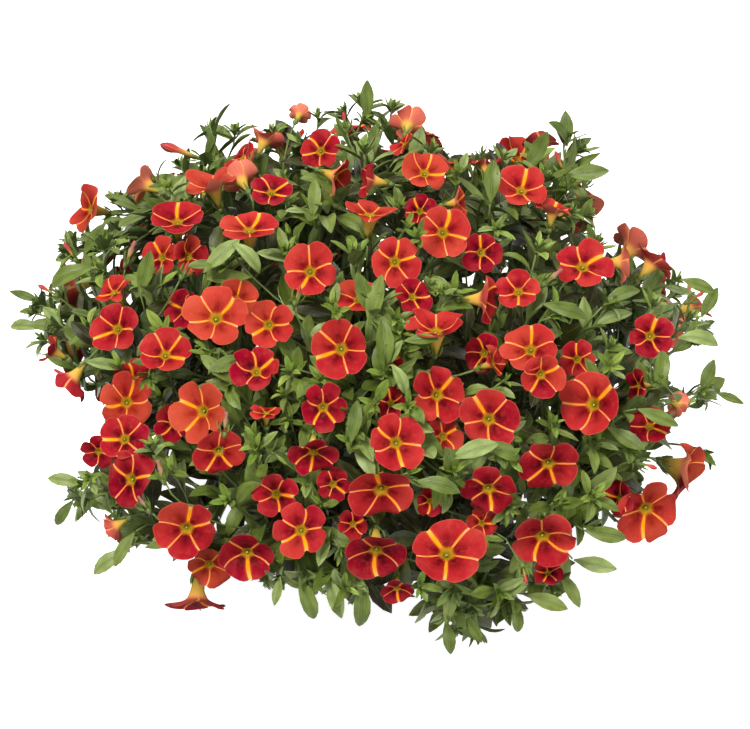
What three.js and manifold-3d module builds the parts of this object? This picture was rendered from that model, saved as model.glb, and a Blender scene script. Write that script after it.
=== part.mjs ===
// A calibrachoa in bloom in its nursery pot: the pot, the soil that fills it, the woody root
// crown on the soil, leafy shoots that arch out of the crown, and five-lobed flowers that
// each sit in a calyx on a shoot. Millimetres, +Z up, the origin at the middle of the pot's
// foot, the plant's fuller side towards -Y.

import * as THREE from 'three';
import { mergeVertices } from 'three/addons/utils/BufferGeometryUtils.js';
import Module from 'manifold-3d';

const wasm = await Module();
wasm.setup();

const SEAT_GAP = 0.3;            // between two pieces that touch
const CLEARANCE = 0.6;           // between pieces that pass each other

// Pot
const POT_HEIGHT = 104;
const POT_FOOT_RADIUS = 42;
const POT_NECK_RADIUS = 57;      // outside of the wall, just under the rim
const POT_RIM_RADIUS = 61;
const POT_RIM_HEIGHT = 14;
const POT_WALL = 2;
const POT_FLOOR = 2.5;
const POT_SIDES = 28;
const DRAIN_HOLES = 6;
const DRAIN_RADIUS = 4;
const DRAIN_CIRCLE = 29;

// Soil and root crown
const SOIL_TOP = 93;
const SOIL_DOME = 3;             // how much higher the soil is at its middle
const TAPROOT_RADIUS = 6;
const TAPROOT_DEPTH = 18;
const CROWN_RADIUS = 13;
const CROWN_MIDDLE = 99;
const CROWN_SIDES = 20;

// Mound of foliage: an ellipsoid that the flowers lie on
const MOUND_RADIUS = 172;
const MOUND_HALF_HEIGHT = 110;
const MOUND_MIDDLE = 106;

// Shoots: rings of arching stems. `height` is the tip's elevation on the mound, `leave` the
// slope at which the stem leaves the crown, `droop` the slope of its tip (all in degrees).
const SHOOT_RINGS = [
  { count: 6, turn: 50, height: -34, leave: 30, droop: -62 },
  { count: 6, turn: 12, height: -2, leave: 44, droop: -18 },
  { count: 3, turn: 30, height: 40, leave: 64, droop: 22 },
  { count: 1, turn: 100, height: 80, leave: 86, droop: 80 },
];
const SHOOT_REACH = 0.98;        // of the mound's surface
const MAIN_STEM = { radius: 1.4, sides: 5, steps: 9 };
const SIDE_STEM = { radius: 0.9, sides: 4, steps: 4 };
const CALYX_LENGTH = 5;
const CALYX_RADIUS = 2;
const CALYX_SIDES = 5;           // one for each sepal

// Leaves
const LEAF_LENGTH = 24;
const LEAF_WIDTH = 9;
const LEAF_THICKNESS = 1.2;
const LEAF_SPACING = 18;
const LEAF_ANGLE = 52;           // from the stem
const TIP_LEAF = { share: 0.97, angle: 8, size: 0.8 };
const SIDE_LEAF_SIZE = 0.85;     // of a main stem's leaf
const FIRST_LEAF = 0.42;         // share of the stem's length that is bare

// Flowers: sizes for a flower 30 mm across, which each flower scales
const FLOWER_WIDTH = 30;
const TUBE_LENGTH = 14;
const TUBE_FOOT_RADIUS = 1.4;
const TUBE_MOUTH_RADIUS = 3;
const LIMB_THICKNESS = 0.9;
const LIMB_RISE = 2.5;           // from the throat to the margin
const LOBES = 5;
const SIDES_PER_LOBE = 3;
const NOTCH_DEPTH = 0.13;        // of the flower's radius

// The front of the mound is laid out on a grid of half-millimetre steps, as it looks from
// EYE_DISTANCE away and EYE_ELEVATION degrees above the level: x to the right, y down, the
// middle of the mound at GRID_MIDDLE. The grid lies across the mound's middle.
const GRID_STEP = 0.5;
const GRID_MIDDLE = { x: 375, y: 365 };
const EYE_DISTANCE = 1000;
const EYE_ELEVATION = 35;

// Flowers on the front: [x, y, width in steps, degrees turned to the right, degrees turned
// up, lift towards the eye in mm]
const FRONT_FLOWERS = [
  [215, 316, 66, -5, 25, 3],
  [310, 271, 55, 0, 10, 2],
  [341, 349, 60, 0, 5, 3],
  [395, 261, 53, 0, 10, 3],
  [489, 420, 60, 0, 0, 4],
  [396, 443, 59, 0, 5, 1],
  [439, 395, 59, 15, 5, -4],
  [323, 408, 49, 0, 0, -3],
  [381, 495, 69, 0, -36, 2],
  [447, 551, 72, 0, 32, 3],
  [376, 556, 65, 0, -42, 0],
  [301, 531, 56, 0, 5, 2],
  [186, 531, 62, 0, -15, 3],
  [127, 480, 60, -33, 0, 3],
  [115, 328, 52, -20, 20, 2],
  [165, 353, 53, 0, 30, 0],
  [199, 411, 64, -28, 5, 2],
  [177, 218, 54, 0, 50, 2],
  [425, 171, 48, 5, 32, 2],
  [522, 188, 52, 5, 35, 0],
  [583, 264, 58, 0, 35, 2],
  [651, 336, 46, 0, 5, 2],
  [590, 404, 67, -32, 8, 3],
  [549, 468, 62, 0, -34, 0],
  [543, 541, 65, 0, -34, 3],
  [648, 512, 66, 10, -20, 4],
  [319, 150, 43, -20, 15, 0],
  [530, 348, 56, -10, 25, 4],
];

// Flowers on the back and the sides: spread evenly by an additive sequence, each at least
// BACK_SPACING from the others
const BACK_FLOWERS = 13;
const BACK_SPACING = 44;
const BACK_WIDTH = 29;
const BACK_TURNED_UP = 18;       // degrees above the mound's own slope
const SPREAD = { around: 0.7548776662, up: 0.569840291 };
const LOWEST_SINE = -0.45;
const HIGHEST_SINE = 0.9;
const FACES_EYE = -0.35;         // slopes that turn to the eye more than this are in front

const GOLDEN_ANGLE = 137.508;

const radians = THREE.MathUtils.degToRad;
const vector = (x, y, z) => new THREE.Vector3(x, y, z);
const UP = vector(0, 0, 1);
const AXIS = vector(0, 1, 0);    // the length of a leaf, a calyx or a flower as it is made

// ---- Solids ----------------------------------------------------------------------------

// A manifold solid from a closed three.js geometry
function solidOf(geometry, matrix = new THREE.Matrix4()) {
  const bare = geometry.clone();
  bare.deleteAttribute('normal');
  bare.deleteAttribute('uv');
  bare.applyMatrix4(matrix);
  const merged = mergeVertices(bare, 1e-4);
  const triangles = [];
  for (let i = 0; i < merged.index.count; i += 3) {
    const [a, b, c] = [0, 1, 2].map((k) => merged.index.getX(i + k));
    if (a !== b && b !== c && c !== a) triangles.push(a, b, c);
  }
  return new wasm.Manifold(new wasm.Mesh({
    numProp: 3,
    vertProperties: new Float32Array(merged.attributes.position.array),
    triVerts: new Uint32Array(triangles),
  }));
}

// A named three.js mesh from a manifold solid
function meshOf(name, solid, material) {
  const { vertProperties, triVerts } = solid.getMesh();
  const geometry = new THREE.BufferGeometry();
  geometry.setAttribute('position', new THREE.BufferAttribute(vertProperties, 3));
  geometry.setIndex(new THREE.BufferAttribute(triVerts, 1));
  geometry.computeVertexNormals();
  const mesh = new THREE.Mesh(geometry, material);
  mesh.name = name;
  return mesh;
}

// A solid of revolution about Z from [radius, height] pairs that start and end on the axis
function turned(profile, sides) {
  const points = profile.map(([radius, height]) => new THREE.Vector2(radius, height));
  return solidOf(new THREE.LatheGeometry(points, sides),
    new THREE.Matrix4().makeRotationX(Math.PI / 2));
}

// A stem along a curve, in straight stretches
function stemSolid(curve, { radius, sides, steps }) {
  const section = new THREE.Shape();
  for (let i = 0; i < sides; i += 1) {
    const angle = (2 * Math.PI * i) / sides;
    const [x, y] = [radius * Math.cos(angle), radius * Math.sin(angle)];
    if (i === 0) section.moveTo(x, y);
    else section.lineTo(x, y);
  }
  return solidOf(new THREE.ExtrudeGeometry(section, {
    steps, bevelEnabled: false, extrudePath: curve,
  }));
}

// Moves a piece that is made along AXIS to `place`, pointing along `direction`
function placing(place, direction, spin = 0) {
  const turn = new THREE.Quaternion().setFromUnitVectors(AXIS, direction);
  turn.multiply(new THREE.Quaternion().setFromAxisAngle(AXIS, spin));
  return new THREE.Matrix4().compose(place, turn, vector(1, 1, 1));
}

// ---- Pot, soil and crown ---------------------------------------------------------------

function potSolid() {
  const neck = POT_HEIGHT - POT_RIM_HEIGHT;
  let pot = turned([
    [0, 0],
    [POT_FOOT_RADIUS - 1.5, 0],
    [POT_FOOT_RADIUS, 1.5],
    [POT_NECK_RADIUS, neck],
    [POT_RIM_RADIUS, neck + 1],
    [POT_RIM_RADIUS + 1, POT_HEIGHT - 1],
    [POT_RIM_RADIUS, POT_HEIGHT],
    [POT_RIM_RADIUS - POT_WALL, POT_HEIGHT],
    [POT_RIM_RADIUS - POT_WALL, neck + 3],
    [POT_NECK_RADIUS - POT_WALL, neck],
    [POT_FOOT_RADIUS - POT_WALL, POT_FLOOR],
    [0, POT_FLOOR],
  ], POT_SIDES);
  const drill = new THREE.CylinderGeometry(DRAIN_RADIUS, DRAIN_RADIUS, 3 * POT_FLOOR, 10);
  drill.rotateX(Math.PI / 2);
  for (let i = 0; i < DRAIN_HOLES; i += 1) {
    const angle = (2 * Math.PI * (i + 0.5)) / DRAIN_HOLES;
    pot = pot.subtract(solidOf(drill, new THREE.Matrix4().makeTranslation(
      DRAIN_CIRCLE * Math.cos(angle), DRAIN_CIRCLE * Math.sin(angle), 0,
    )));
  }
  return pot;
}

function soilSolid() {
  const foot = POT_FLOOR + SEAT_GAP;
  const neck = POT_HEIGHT - POT_RIM_HEIGHT;
  const slope = (POT_NECK_RADIUS - POT_FOOT_RADIUS) / (neck - POT_FLOOR);
  const inside = POT_WALL + SEAT_GAP + 0.2;
  const well = TAPROOT_RADIUS + SEAT_GAP + 0.1;
  return turned([
    [0, foot],
    [POT_FOOT_RADIUS - inside, foot],
    [POT_NECK_RADIUS - inside - slope * 2, neck - 2],
    [POT_NECK_RADIUS - inside - slope * 2, SOIL_TOP - 1.5],
    [POT_NECK_RADIUS * 0.8, SOIL_TOP],
    [well + 6, SOIL_TOP + SOIL_DOME],
    [well, SOIL_TOP + SOIL_DOME - 4],
    [well, SOIL_TOP - TAPROOT_DEPTH],
    [0, SOIL_TOP - TAPROOT_DEPTH],
  ], POT_SIDES);
}

function crownSolid() {
  const foot = SOIL_TOP - TAPROOT_DEPTH + SEAT_GAP;
  const profile = [[0, foot], [TAPROOT_RADIUS * 0.6, foot], [TAPROOT_RADIUS, SOIL_TOP]];
  for (let slope = 0; slope < 90; slope += 18) {
    profile.push([CROWN_RADIUS * Math.cos(radians(slope)),
      CROWN_MIDDLE + CROWN_RADIUS * Math.sin(radians(slope))]);
  }
  profile.push([0, CROWN_MIDDLE + CROWN_RADIUS]);
  return turned(profile, CROWN_SIDES);
}

// ---- Places on the mound ---------------------------------------------------------------

const MOUND_CENTRE = vector(0, 0, MOUND_MIDDLE);
const MOUND_SIZE = vector(MOUND_RADIUS, MOUND_RADIUS, MOUND_HALF_HEIGHT);

// A point of the mound's surface from two angles in degrees
function moundPoint(around, height, reach = 1) {
  const [a, h] = [radians(around), radians(height)];
  return vector(Math.cos(a) * Math.cos(h), Math.sin(a) * Math.cos(h), Math.sin(h))
    .multiply(MOUND_SIZE).multiplyScalar(reach).add(MOUND_CENTRE);
}

function moundSlope(point) {
  return point.clone().sub(MOUND_CENTRE).divide(MOUND_SIZE).divide(MOUND_SIZE).normalize();
}

const EYE_RIGHT = vector(1, 0, 0);
const TO_EYE = vector(0, -Math.cos(radians(EYE_ELEVATION)), Math.sin(radians(EYE_ELEVATION)));
const EYE_UP = TO_EYE.clone().cross(EYE_RIGHT);
const EYE = MOUND_CENTRE.clone().addScaledVector(TO_EYE, EYE_DISTANCE);

// The first point of the mound on the line of sight through a grid place, or the nearest
// point to it where the line passes the mound by
function gridPoint(x, y) {
  const sight = TO_EYE.clone().multiplyScalar(-EYE_DISTANCE)
    .addScaledVector(EYE_RIGHT, (x - GRID_MIDDLE.x) * GRID_STEP)
    .addScaledVector(EYE_UP, (GRID_MIDDLE.y - y) * GRID_STEP);
  const from = EYE.clone().sub(MOUND_CENTRE).divide(MOUND_SIZE);
  const along = sight.clone().divide(MOUND_SIZE);
  const [a, b, c] = [along.dot(along), from.dot(along), from.dot(from) - 1];
  const reach = (-b - Math.sqrt(Math.max(0, b * b - a * c))) / a;
  return EYE.clone().addScaledVector(sight, reach);
}

// ---- Flowers ---------------------------------------------------------------------------

// Where a flower's face is, which way it faces and how large it is
function frontFlower([x, y, steps, right, up, lift]) {
  const onMound = gridPoint(x, y);
  const nearness = EYE.distanceTo(onMound) / EYE_DISTANCE;
  const facing = new THREE.Vector3()
    .addScaledVector(EYE_RIGHT, Math.sin(radians(right)) * Math.cos(radians(up)))
    .addScaledVector(EYE_UP, Math.sin(radians(up)))
    .addScaledVector(TO_EYE, Math.cos(radians(right)) * Math.cos(radians(up)));
  const toEye = EYE.clone().sub(onMound).normalize();
  return { face: onMound.addScaledVector(toEye, lift), facing, width: steps * GRID_STEP * nearness };
}

const fraction = (value) => value - Math.floor(value);

function backFlowers() {
  const flowers = [];
  for (let n = 1; flowers.length < BACK_FLOWERS; n += 1) {
    const around = 360 * fraction(n * SPREAD.around);
    const sine = THREE.MathUtils.lerp(LOWEST_SINE, HIGHEST_SINE, fraction(n * SPREAD.up));
    const face = moundPoint(around, THREE.MathUtils.radToDeg(Math.asin(sine)));
    const slope = moundSlope(face);
    const inFront = slope.dot(TO_EYE) > FACES_EYE;
    const crowded = flowers.some((other) => other.face.distanceTo(face) < BACK_SPACING);
    if (!inFront && !crowded) {
      const facing = slope.addScaledVector(UP, Math.sin(radians(BACK_TURNED_UP))).normalize();
      flowers.push({ face, facing, width: BACK_WIDTH });
    }
  }
  return flowers;
}

// One corolla in its own frame: foot of the tube at the origin, opening along AXIS
function corollaGeometry() {
  const radius = FLOWER_WIDTH / 2;
  const margin = TUBE_LENGTH + LIMB_RISE;
  const geometry = new THREE.LatheGeometry([
    [0, 0],
    [TUBE_FOOT_RADIUS, 0],
    [TUBE_MOUTH_RADIUS, TUBE_LENGTH - 2],
    [radius, margin - LIMB_THICKNESS],
    [radius, margin],
    [0, TUBE_LENGTH - 3],
  ].map(([r, h]) => new THREE.Vector2(r, h)), LOBES * SIDES_PER_LOBE);
  const position = geometry.attributes.position;
  for (let i = 0; i < position.count; i += 1) {
    const [x, z] = [position.getX(i), position.getZ(i)];
    if (Math.hypot(x, z) > radius * 0.9) {
      const lobe = Math.abs(Math.sin((LOBES / 2) * Math.atan2(x, z)));
      const reach = 1 - NOTCH_DEPTH * (1 - lobe);
      position.setX(i, x * reach);
      position.setZ(i, z * reach);
    }
  }
  return geometry;
}

const COROLLA = corollaGeometry();

function corollaSolid(flower, spin) {
  const size = flower.width / FLOWER_WIDTH;
  const matrix = placing(flower.foot, flower.facing, spin);
  return solidOf(COROLLA, matrix.scale(vector(size, size, size)));
}

// ---- Shoots ----------------------------------------------------------------------------

function slanting(around, slope) {
  const [a, s] = [radians(around), radians(slope)];
  return vector(Math.cos(a) * Math.cos(s), Math.sin(a) * Math.cos(s), Math.sin(s));
}

function mainStem(around, ring) {
  const leaving = slanting(around, ring.leave);
  const arriving = slanting(around, ring.droop);
  const start = vector(0, 0, CROWN_MIDDLE).addScaledVector(leaving, CROWN_RADIUS + SEAT_GAP);
  const tip = moundPoint(around, ring.height, SHOOT_REACH);
  const span = start.distanceTo(tip);
  return new THREE.CubicBezierCurve3(start, start.clone().addScaledVector(leaving, span * 0.45),
    tip.clone().addScaledVector(arriving, -span * 0.45), tip);
}

// Curves from the shoots to a flower's calyx, the nearest shoot's first
function waysTo(flower, shoots) {
  const foot = flower.foot.clone().addScaledVector(flower.facing, -(CALYX_LENGTH + SEAT_GAP));
  const aim = foot.clone().addScaledVector(flower.facing, -12);
  const ways = shoots.map((shoot) => {
    let best = { distance: Infinity };
    for (let share = 0.3; share <= 0.96; share += 0.03) {
      const distance = shoot.curve.getPointAt(share).distanceTo(aim);
      if (distance < best.distance) best = { distance, share };
    }
    const share = Math.max(0.28, best.share - 0.12);
    const start = shoot.curve.getPointAt(share);
    const leaving = shoot.curve.getTangentAt(share);
    const span = start.distanceTo(foot);
    const curve = new THREE.CubicBezierCurve3(start,
      start.clone().addScaledVector(leaving, span * 0.35),
      foot.clone().addScaledVector(flower.facing, -span * 0.35), foot);
    return { shoot, curve, distance: best.distance };
  });
  return ways.sort((one, other) => one.distance - other.distance);
}

// A side stem that ends in a calyx
function sideStemSolid(curve, facing) {
  const length = CALYX_LENGTH + 1;
  const calyx = new THREE.CylinderGeometry(CALYX_RADIUS, SIDE_STEM.radius, length, CALYX_SIDES);
  calyx.translate(0, CALYX_LENGTH - length / 2, 0);
  return stemSolid(curve, SIDE_STEM).add(solidOf(calyx, placing(curve.getPoint(1), facing)));
}

// One pointed leaf along AXIS: a flat four-sided spindle
const LEAF = new THREE.SphereGeometry(1, 4, 3)
  .scale(LEAF_WIDTH / Math.sqrt(3), LEAF_LENGTH / 2, LEAF_THICKNESS / 2)
  .translate(0, LEAF_LENGTH / 2, 0);

// The place on a stem's straight stretches at a share of its length
function placeOn(curve, { steps }, share) {
  const step = Math.min(Math.floor(share * steps), steps - 1);
  return curve.getPointAt(step / steps)
    .lerp(curve.getPointAt((step + 1) / steps), share * steps - step);
}

// A leaf at a share of a stem's length, leaning out by `angle` on the side given by `turn`,
// its flat side to the stem's growing end
function leafOn(curve, stem, share, angle, size, turn) {
  const along = curve.getTangentAt(share);
  const aside = UP.clone().cross(along).normalize().applyAxisAngle(along, radians(turn));
  const direction = along.clone().multiplyScalar(Math.cos(radians(angle)))
    .addScaledVector(aside, Math.sin(radians(angle)));
  const across = direction.clone().cross(along).normalize();
  const matrix = new THREE.Matrix4().makeBasis(across, direction,
    across.clone().cross(direction));
  matrix.setPosition(placeOn(curve, stem, share));
  return solidOf(LEAF, matrix.scale(vector(size, size, size)));
}

// Leaves in a spiral along a stem, and one at its tip
function leavesOn(curve, stem, size, turn) {
  const length = curve.getLength();
  const { share, angle } = TIP_LEAF;
  const leaves = [leafOn(curve, stem, share, angle, size * TIP_LEAF.size, turn)];
  const count = Math.floor((length * (share - FIRST_LEAF)) / LEAF_SPACING);
  for (let i = 0; i < count; i += 1) {
    leaves.push(leafOn(curve, stem, FIRST_LEAF + (i * LEAF_SPACING) / length, LEAF_ANGLE, size,
      turn + i * GOLDEN_ANGLE));
  }
  return leaves;
}

// ---- The plant -------------------------------------------------------------------------

const numbered = (name, index) => `${name}_${String(index + 1).padStart(2, '0')}`;

const isClear = (solid, others) => (
  others.every((other) => solid.minGap(other.solid, CLEARANCE) >= CLEARANCE));

const shoots = SHOOT_RINGS.flatMap((ring) => Array.from({ length: ring.count }, (_, i) => {
  const curve = mainStem(ring.turn + (360 * i) / ring.count, ring);
  return { curve, solid: stemSolid(curve, MAIN_STEM), sides: [] };
}));

const flowers = [...FRONT_FLOWERS.map(frontFlower), ...backFlowers()];
flowers.forEach((flower, index) => {
  const depth = ((TUBE_LENGTH + LIMB_RISE) * flower.width) / FLOWER_WIDTH;
  flower.foot = flower.face.clone().addScaledVector(flower.facing, -depth);
  flower.solid = corollaSolid(flower, radians(index * GOLDEN_ANGLE));
});

// Each flower hangs on the nearest shoot that reaches it past the others
for (const flower of flowers) {
  for (const { shoot, curve } of waysTo(flower, shoots)) {
    const side = sideStemSolid(curve, flower.facing);
    const others = [...flowers, ...shoots].filter((one) => one !== flower && one !== shoot);
    if (isClear(side, others)) {
      shoot.sides.push(curve);
      shoot.solid = shoot.solid.add(side);
      break;
    }
  }
}

// A leaf is left off where it would touch a flower or another shoot
shoots.forEach((shoot, index) => {
  const others = [...flowers, ...shoots].filter((one) => one !== shoot);
  const leaves = [
    ...leavesOn(shoot.curve, MAIN_STEM, 1, index * 40),
    ...shoot.sides.flatMap((side, i) => (
      leavesOn(side, SIDE_STEM, SIDE_LEAF_SIZE, index * 40 + i * 70))),
  ];
  for (const leaf of leaves.filter((one) => isClear(one, others))) {
    shoot.solid = shoot.solid.add(leaf);
  }
});

// ---- Materials and the assembly --------------------------------------------------------

const plastic = new THREE.MeshStandardMaterial({ color: 0x26282a, roughness: 0.55, metalness: 0 });
const peat = new THREE.MeshStandardMaterial({ color: 0x3a2a1e, roughness: 1, metalness: 0 });
const bark = new THREE.MeshStandardMaterial({ color: 0x6b5a38, roughness: 0.9, metalness: 0 });
const leafGreen = new THREE.MeshStandardMaterial({ color: 0x5f8c46, roughness: 0.6, metalness: 0 });
const crimson = new THREE.MeshStandardMaterial({ color: 0xc8202e, roughness: 0.5, metalness: 0 });

const calibrachoa = new THREE.Group();
calibrachoa.add(
  meshOf('pot', potSolid(), plastic),
  meshOf('soil', soilSolid(), peat),
  meshOf('root_crown', crownSolid(), bark),
  ...shoots.map((shoot, i) => meshOf(numbered('shoot', i), shoot.solid, leafGreen)),
  ...flowers.map((flower, i) => meshOf(numbered('flower', i), flower.solid, crimson)),
);

export default calibrachoa;
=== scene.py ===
"""A calibrachoa in bloom in its nursery pot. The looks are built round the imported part.

Lengths are millimetres and angles are degrees, until a mesh or a light is made.
"""

import math

import bpy
import numpy as np
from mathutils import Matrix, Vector, noise


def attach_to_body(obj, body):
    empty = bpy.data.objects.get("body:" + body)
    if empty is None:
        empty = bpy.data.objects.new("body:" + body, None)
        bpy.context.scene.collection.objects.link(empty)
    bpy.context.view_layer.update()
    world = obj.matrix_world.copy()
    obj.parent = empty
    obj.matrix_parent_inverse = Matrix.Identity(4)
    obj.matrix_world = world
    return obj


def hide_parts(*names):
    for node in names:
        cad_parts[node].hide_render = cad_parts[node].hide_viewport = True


MM = 0.001
SEED = 20

# ---- Sizes that repeat the part's ----

POT_HEIGHT = 104
POT_FOOT_RADIUS = 42
POT_NECK_RADIUS = 57
POT_RIM_RADIUS = 61
POT_RIM_HEIGHT = 14
POT_WALL = 2
POT_FLOOR = 2.5
DRAIN_HOLES = 6
DRAIN_RADIUS = 4
DRAIN_CIRCLE = 29

SOIL_TOP = 93
SOIL_DOME = 3
CROWN_RADIUS = 13
CROWN_MIDDLE = 99
SEAT_GAP = 0.3

# The mound that the tips of the shoots fill out: an ellipsoid, level with the pot's rim.
MOUND_CENTRE = np.array([0.0, 0.0, 106.0])
MOUND_SIZE = np.array([172.0, 172.0, 110.0])

# The rings of shoots: how many, the first one's turn, the height of their tips as an angle on
# the mound, the slope that they leave the crown at, and the slope that they end at.
SHOOT_RINGS = [
    (6, 50, -34, 30, -62),
    (6, 12, -2, 44, -18),
    (3, 30, 40, 64, 22),
    (1, 100, 80, 86, 80),
]
SHOOT_REACH = 0.98
SHOOT_BOW = 0.45

FLOWER_WIDTH = 30
TUBE_LENGTH = 14
LIMB_RISE = 2.5
LOBES = 5
GOLDEN_ANGLE = 137.508

# The eye, and the grid of half-millimetre steps that it sees the plant on.
GRID_STEP = 0.5
GRID_MIDDLE = (375, 365)
GRID_WIDTH = 750
GRID_HEIGHT = 729
EYE_DISTANCE = 1000
EYE_ELEVATION = 35

# Flowers that face the eye: grid place, width in grid steps, how far they are turned right and
# up, how far they stand off the mound, tone, from 0 for crimson to 1 for coral, and the angle
# of the widest stripe on the grid.
FRONT_FLOWERS = [
    (215, 316, 66, -5, 25, 3, 0.8, 53),
    (310, 271, 55, 0, 10, 2, 0.55, 243),
    (341, 349, 60, 0, 5, 3, 0.45, 207),
    (395, 261, 53, 0, 10, 3, 0.55, 12),
    (489, 420, 60, 0, 0, 4, 0.5, 118),
    (396, 443, 59, 0, 5, 1, 0.48, 284),
    (439, 395, 59, 15, 5, -4, 0.35, 42),
    (323, 408, 49, 0, 0, -3, 0.04, 241),
    (381, 495, 69, 0, -36, 2, 0.35, 98),
    (447, 551, 72, 0, 32, 3, 0.5, 130),
    (376, 556, 65, 0, -42, 0, 0.1, 260),
    (301, 531, 56, 0, 5, 2, 0.3, 292),
    (186, 531, 62, 0, -15, 3, 0.45, 82),
    (127, 480, 60, -33, 0, 3, 0.08, 32),
    (115, 328, 52, -20, 20, 2, 0.35, 235),
    (165, 353, 53, 0, 30, 0, 0.3, 337),
    (199, 411, 64, -28, 5, 2, 0.8, 179),
    (177, 218, 54, 0, 50, 2, 0.3, 96),
    (425, 171, 48, 5, 32, 2, 0.75, 345),
    (522, 188, 52, 5, 35, 0, 0.55, 63),
    (583, 264, 58, 0, 35, 2, 0.5, 30),
    (651, 336, 46, 0, 5, 2, 0.02, 74),
    (590, 404, 67, -32, 8, 3, 0.55, 68),
    (549, 468, 62, 0, -34, 0, 0.3, 297),
    (543, 541, 65, 0, -34, 3, 0.38, 237),
    (648, 512, 66, 10, -20, 4, 0.75, 256),
    (319, 150, 43, -20, 15, 0, 0.2, 139),
    (530, 348, 56, -10, 25, 4, 0.7, 101),
]

# The smaller, turned or half-hidden flowers between them, which the part leaves out. A row
# without an angle leaves its stripes to chance.
MORE_FLOWERS = [
    (86, 209, 48, -55, 8, 0, 0.8), (143, 184, 40, -110, 24, 0, 1.0),
    (160, 257, 42, -25, 10, -6, 0.45, 140), (191, 257, 42, 40, 0, -6, 0.45, 168),
    (212, 183, 50, -30, 60, 0, 0.8), (240, 178, 40, -150, 40, -6, 0.9),
    (240, 155, 38, -60, 40, 0, 0.2), (249, 226, 58, 0, 54, 2, 0.5, 45),
    (112, 290, 42, -35, 45, 0, 0.5), (183, 310, 42, -20, 0, -16, 0.05, 165),
    (236, 300, 46, 0, 10, -14, 0.9), (51, 350, 32, -75, 30, 2, 0.05),
    (70, 382, 42, -95, -50, 2, 0.1), (126, 402, 56, 0, 10, -8, 0.8, 205),
    (133, 380, 44, 0, 10, -14, 0.3), (123, 438, 50, -10, 20, 0, 0.15, 191),
    (98, 452, 34, 0, 0, -12, 0.1), (173, 424, 40, 0, 0, -12, 0.2),
    (219, 454, 52, 10, -22, 0, 0.4, 229), (268, 325, 51, -5, 5, 0, 0.65, 220),
    (271, 190, 45, 0, 40, 0, 0.1, 333), (340, 178, 42, 70, -20, -6, 0.75),
    (300, 114, 24, 160, 40, 0, 1.0), (266, 138, 38, 135, 58, 0, 0.5),
    (368, 180, 38, -75, 10, 0, 0.3), (370, 210, 56, 10, 65, 2, 0.6, 22),
    (408, 124, 38, 170, 35, 0, 0.6), (402, 143, 28, -60, 30, -5, 0.6),
    (420, 211, 34, 0, 10, -8, 0.05, 121), (443, 232, 54, 0, 10, 2, 0.6, 57),
    (461, 202, 33, 70, 10, -6, 0.7), (455, 164, 38, 180, 80, 0, 0.5),
    (485, 163, 32, 150, 82, 0, 0.3), (541, 141, 40, 180, 70, 0, 0.3),
    (553, 208, 38, 20, 70, -4, 0.6), (483, 253, 43, 20, 0, -7, 0.0, 92),
    (626, 263, 44, 92, 0, 0, 0.7), (655, 260, 46, 90, 51, 2, 0.15),
    (518, 290, 46, -10, 30, 0, 0.4, 291), (489, 300, 52, 72, 0, 0, 0.35),
    (542, 376, 46, 10, -10, 6, 0.4, 20), (578, 360, 40, 5, 0, -12, 0.4, 92),
    (636, 386, 34, -60, 0, -4, 0.1), (650, 425, 42, 0, 30, -5, 0.1, 330),
    (680, 405, 28, 130, -10, -4, 0.9), (690, 468, 52, 68, -14, 2, 0.9),
    (618, 499, 38, -40, 0, -14, 0.03), (489, 493, 60, 0, -32, 0, 0.15, 279),
    (548, 572, 30, 0, 40, -6, 0.1), (443, 437, 42, 0, 0, -10, 0.5, 30),
    (436, 326, 60, 0, 60, 2, 0.5, 134), (256, 370, 50, 0, 25, 0, 0.2),
    (358, 297, 46, 0, 40, -8, 0.5, 90), (414, 296, 39, 20, 20, -2, 0.1, 265),
    (391, 361, 24, 0, 20, -14, 0.5, 20), (391, 403, 34, 0, 10, -10, 0.05, 100),
    (482, 354, 42, -30, 0, -12, 0.02, 110), (496, 362, 34, 60, 20, -4, 0.6),
    (313, 457, 50, 0, -48, 0, 0.03, 270), (333, 485, 36, 0, 0, -10, 0.05, 330),
    (266, 411, 32, 0, 60, -4, 0.5), (276, 495, 46, 0, 0, -6, 0.25, 354),
    (353, 525, 32, 0, 0, -14, 0.1), (430, 502, 30, 0, 0, -12, 0.1),
    (209, 568, 48, 0, -30, -6, 0.85, 203), (247, 557, 58, 0, -30, 0, 0.2, 270),
    (113, 528, 32, -110, -30, 0, 0.5), (197, 608, 62, 0, -75, 4, 0.1),
    (397, 592, 36, 0, -45, -4, 0.05, 280), (482, 524, 32, 0, 0, -12, 0.5),
]

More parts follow.
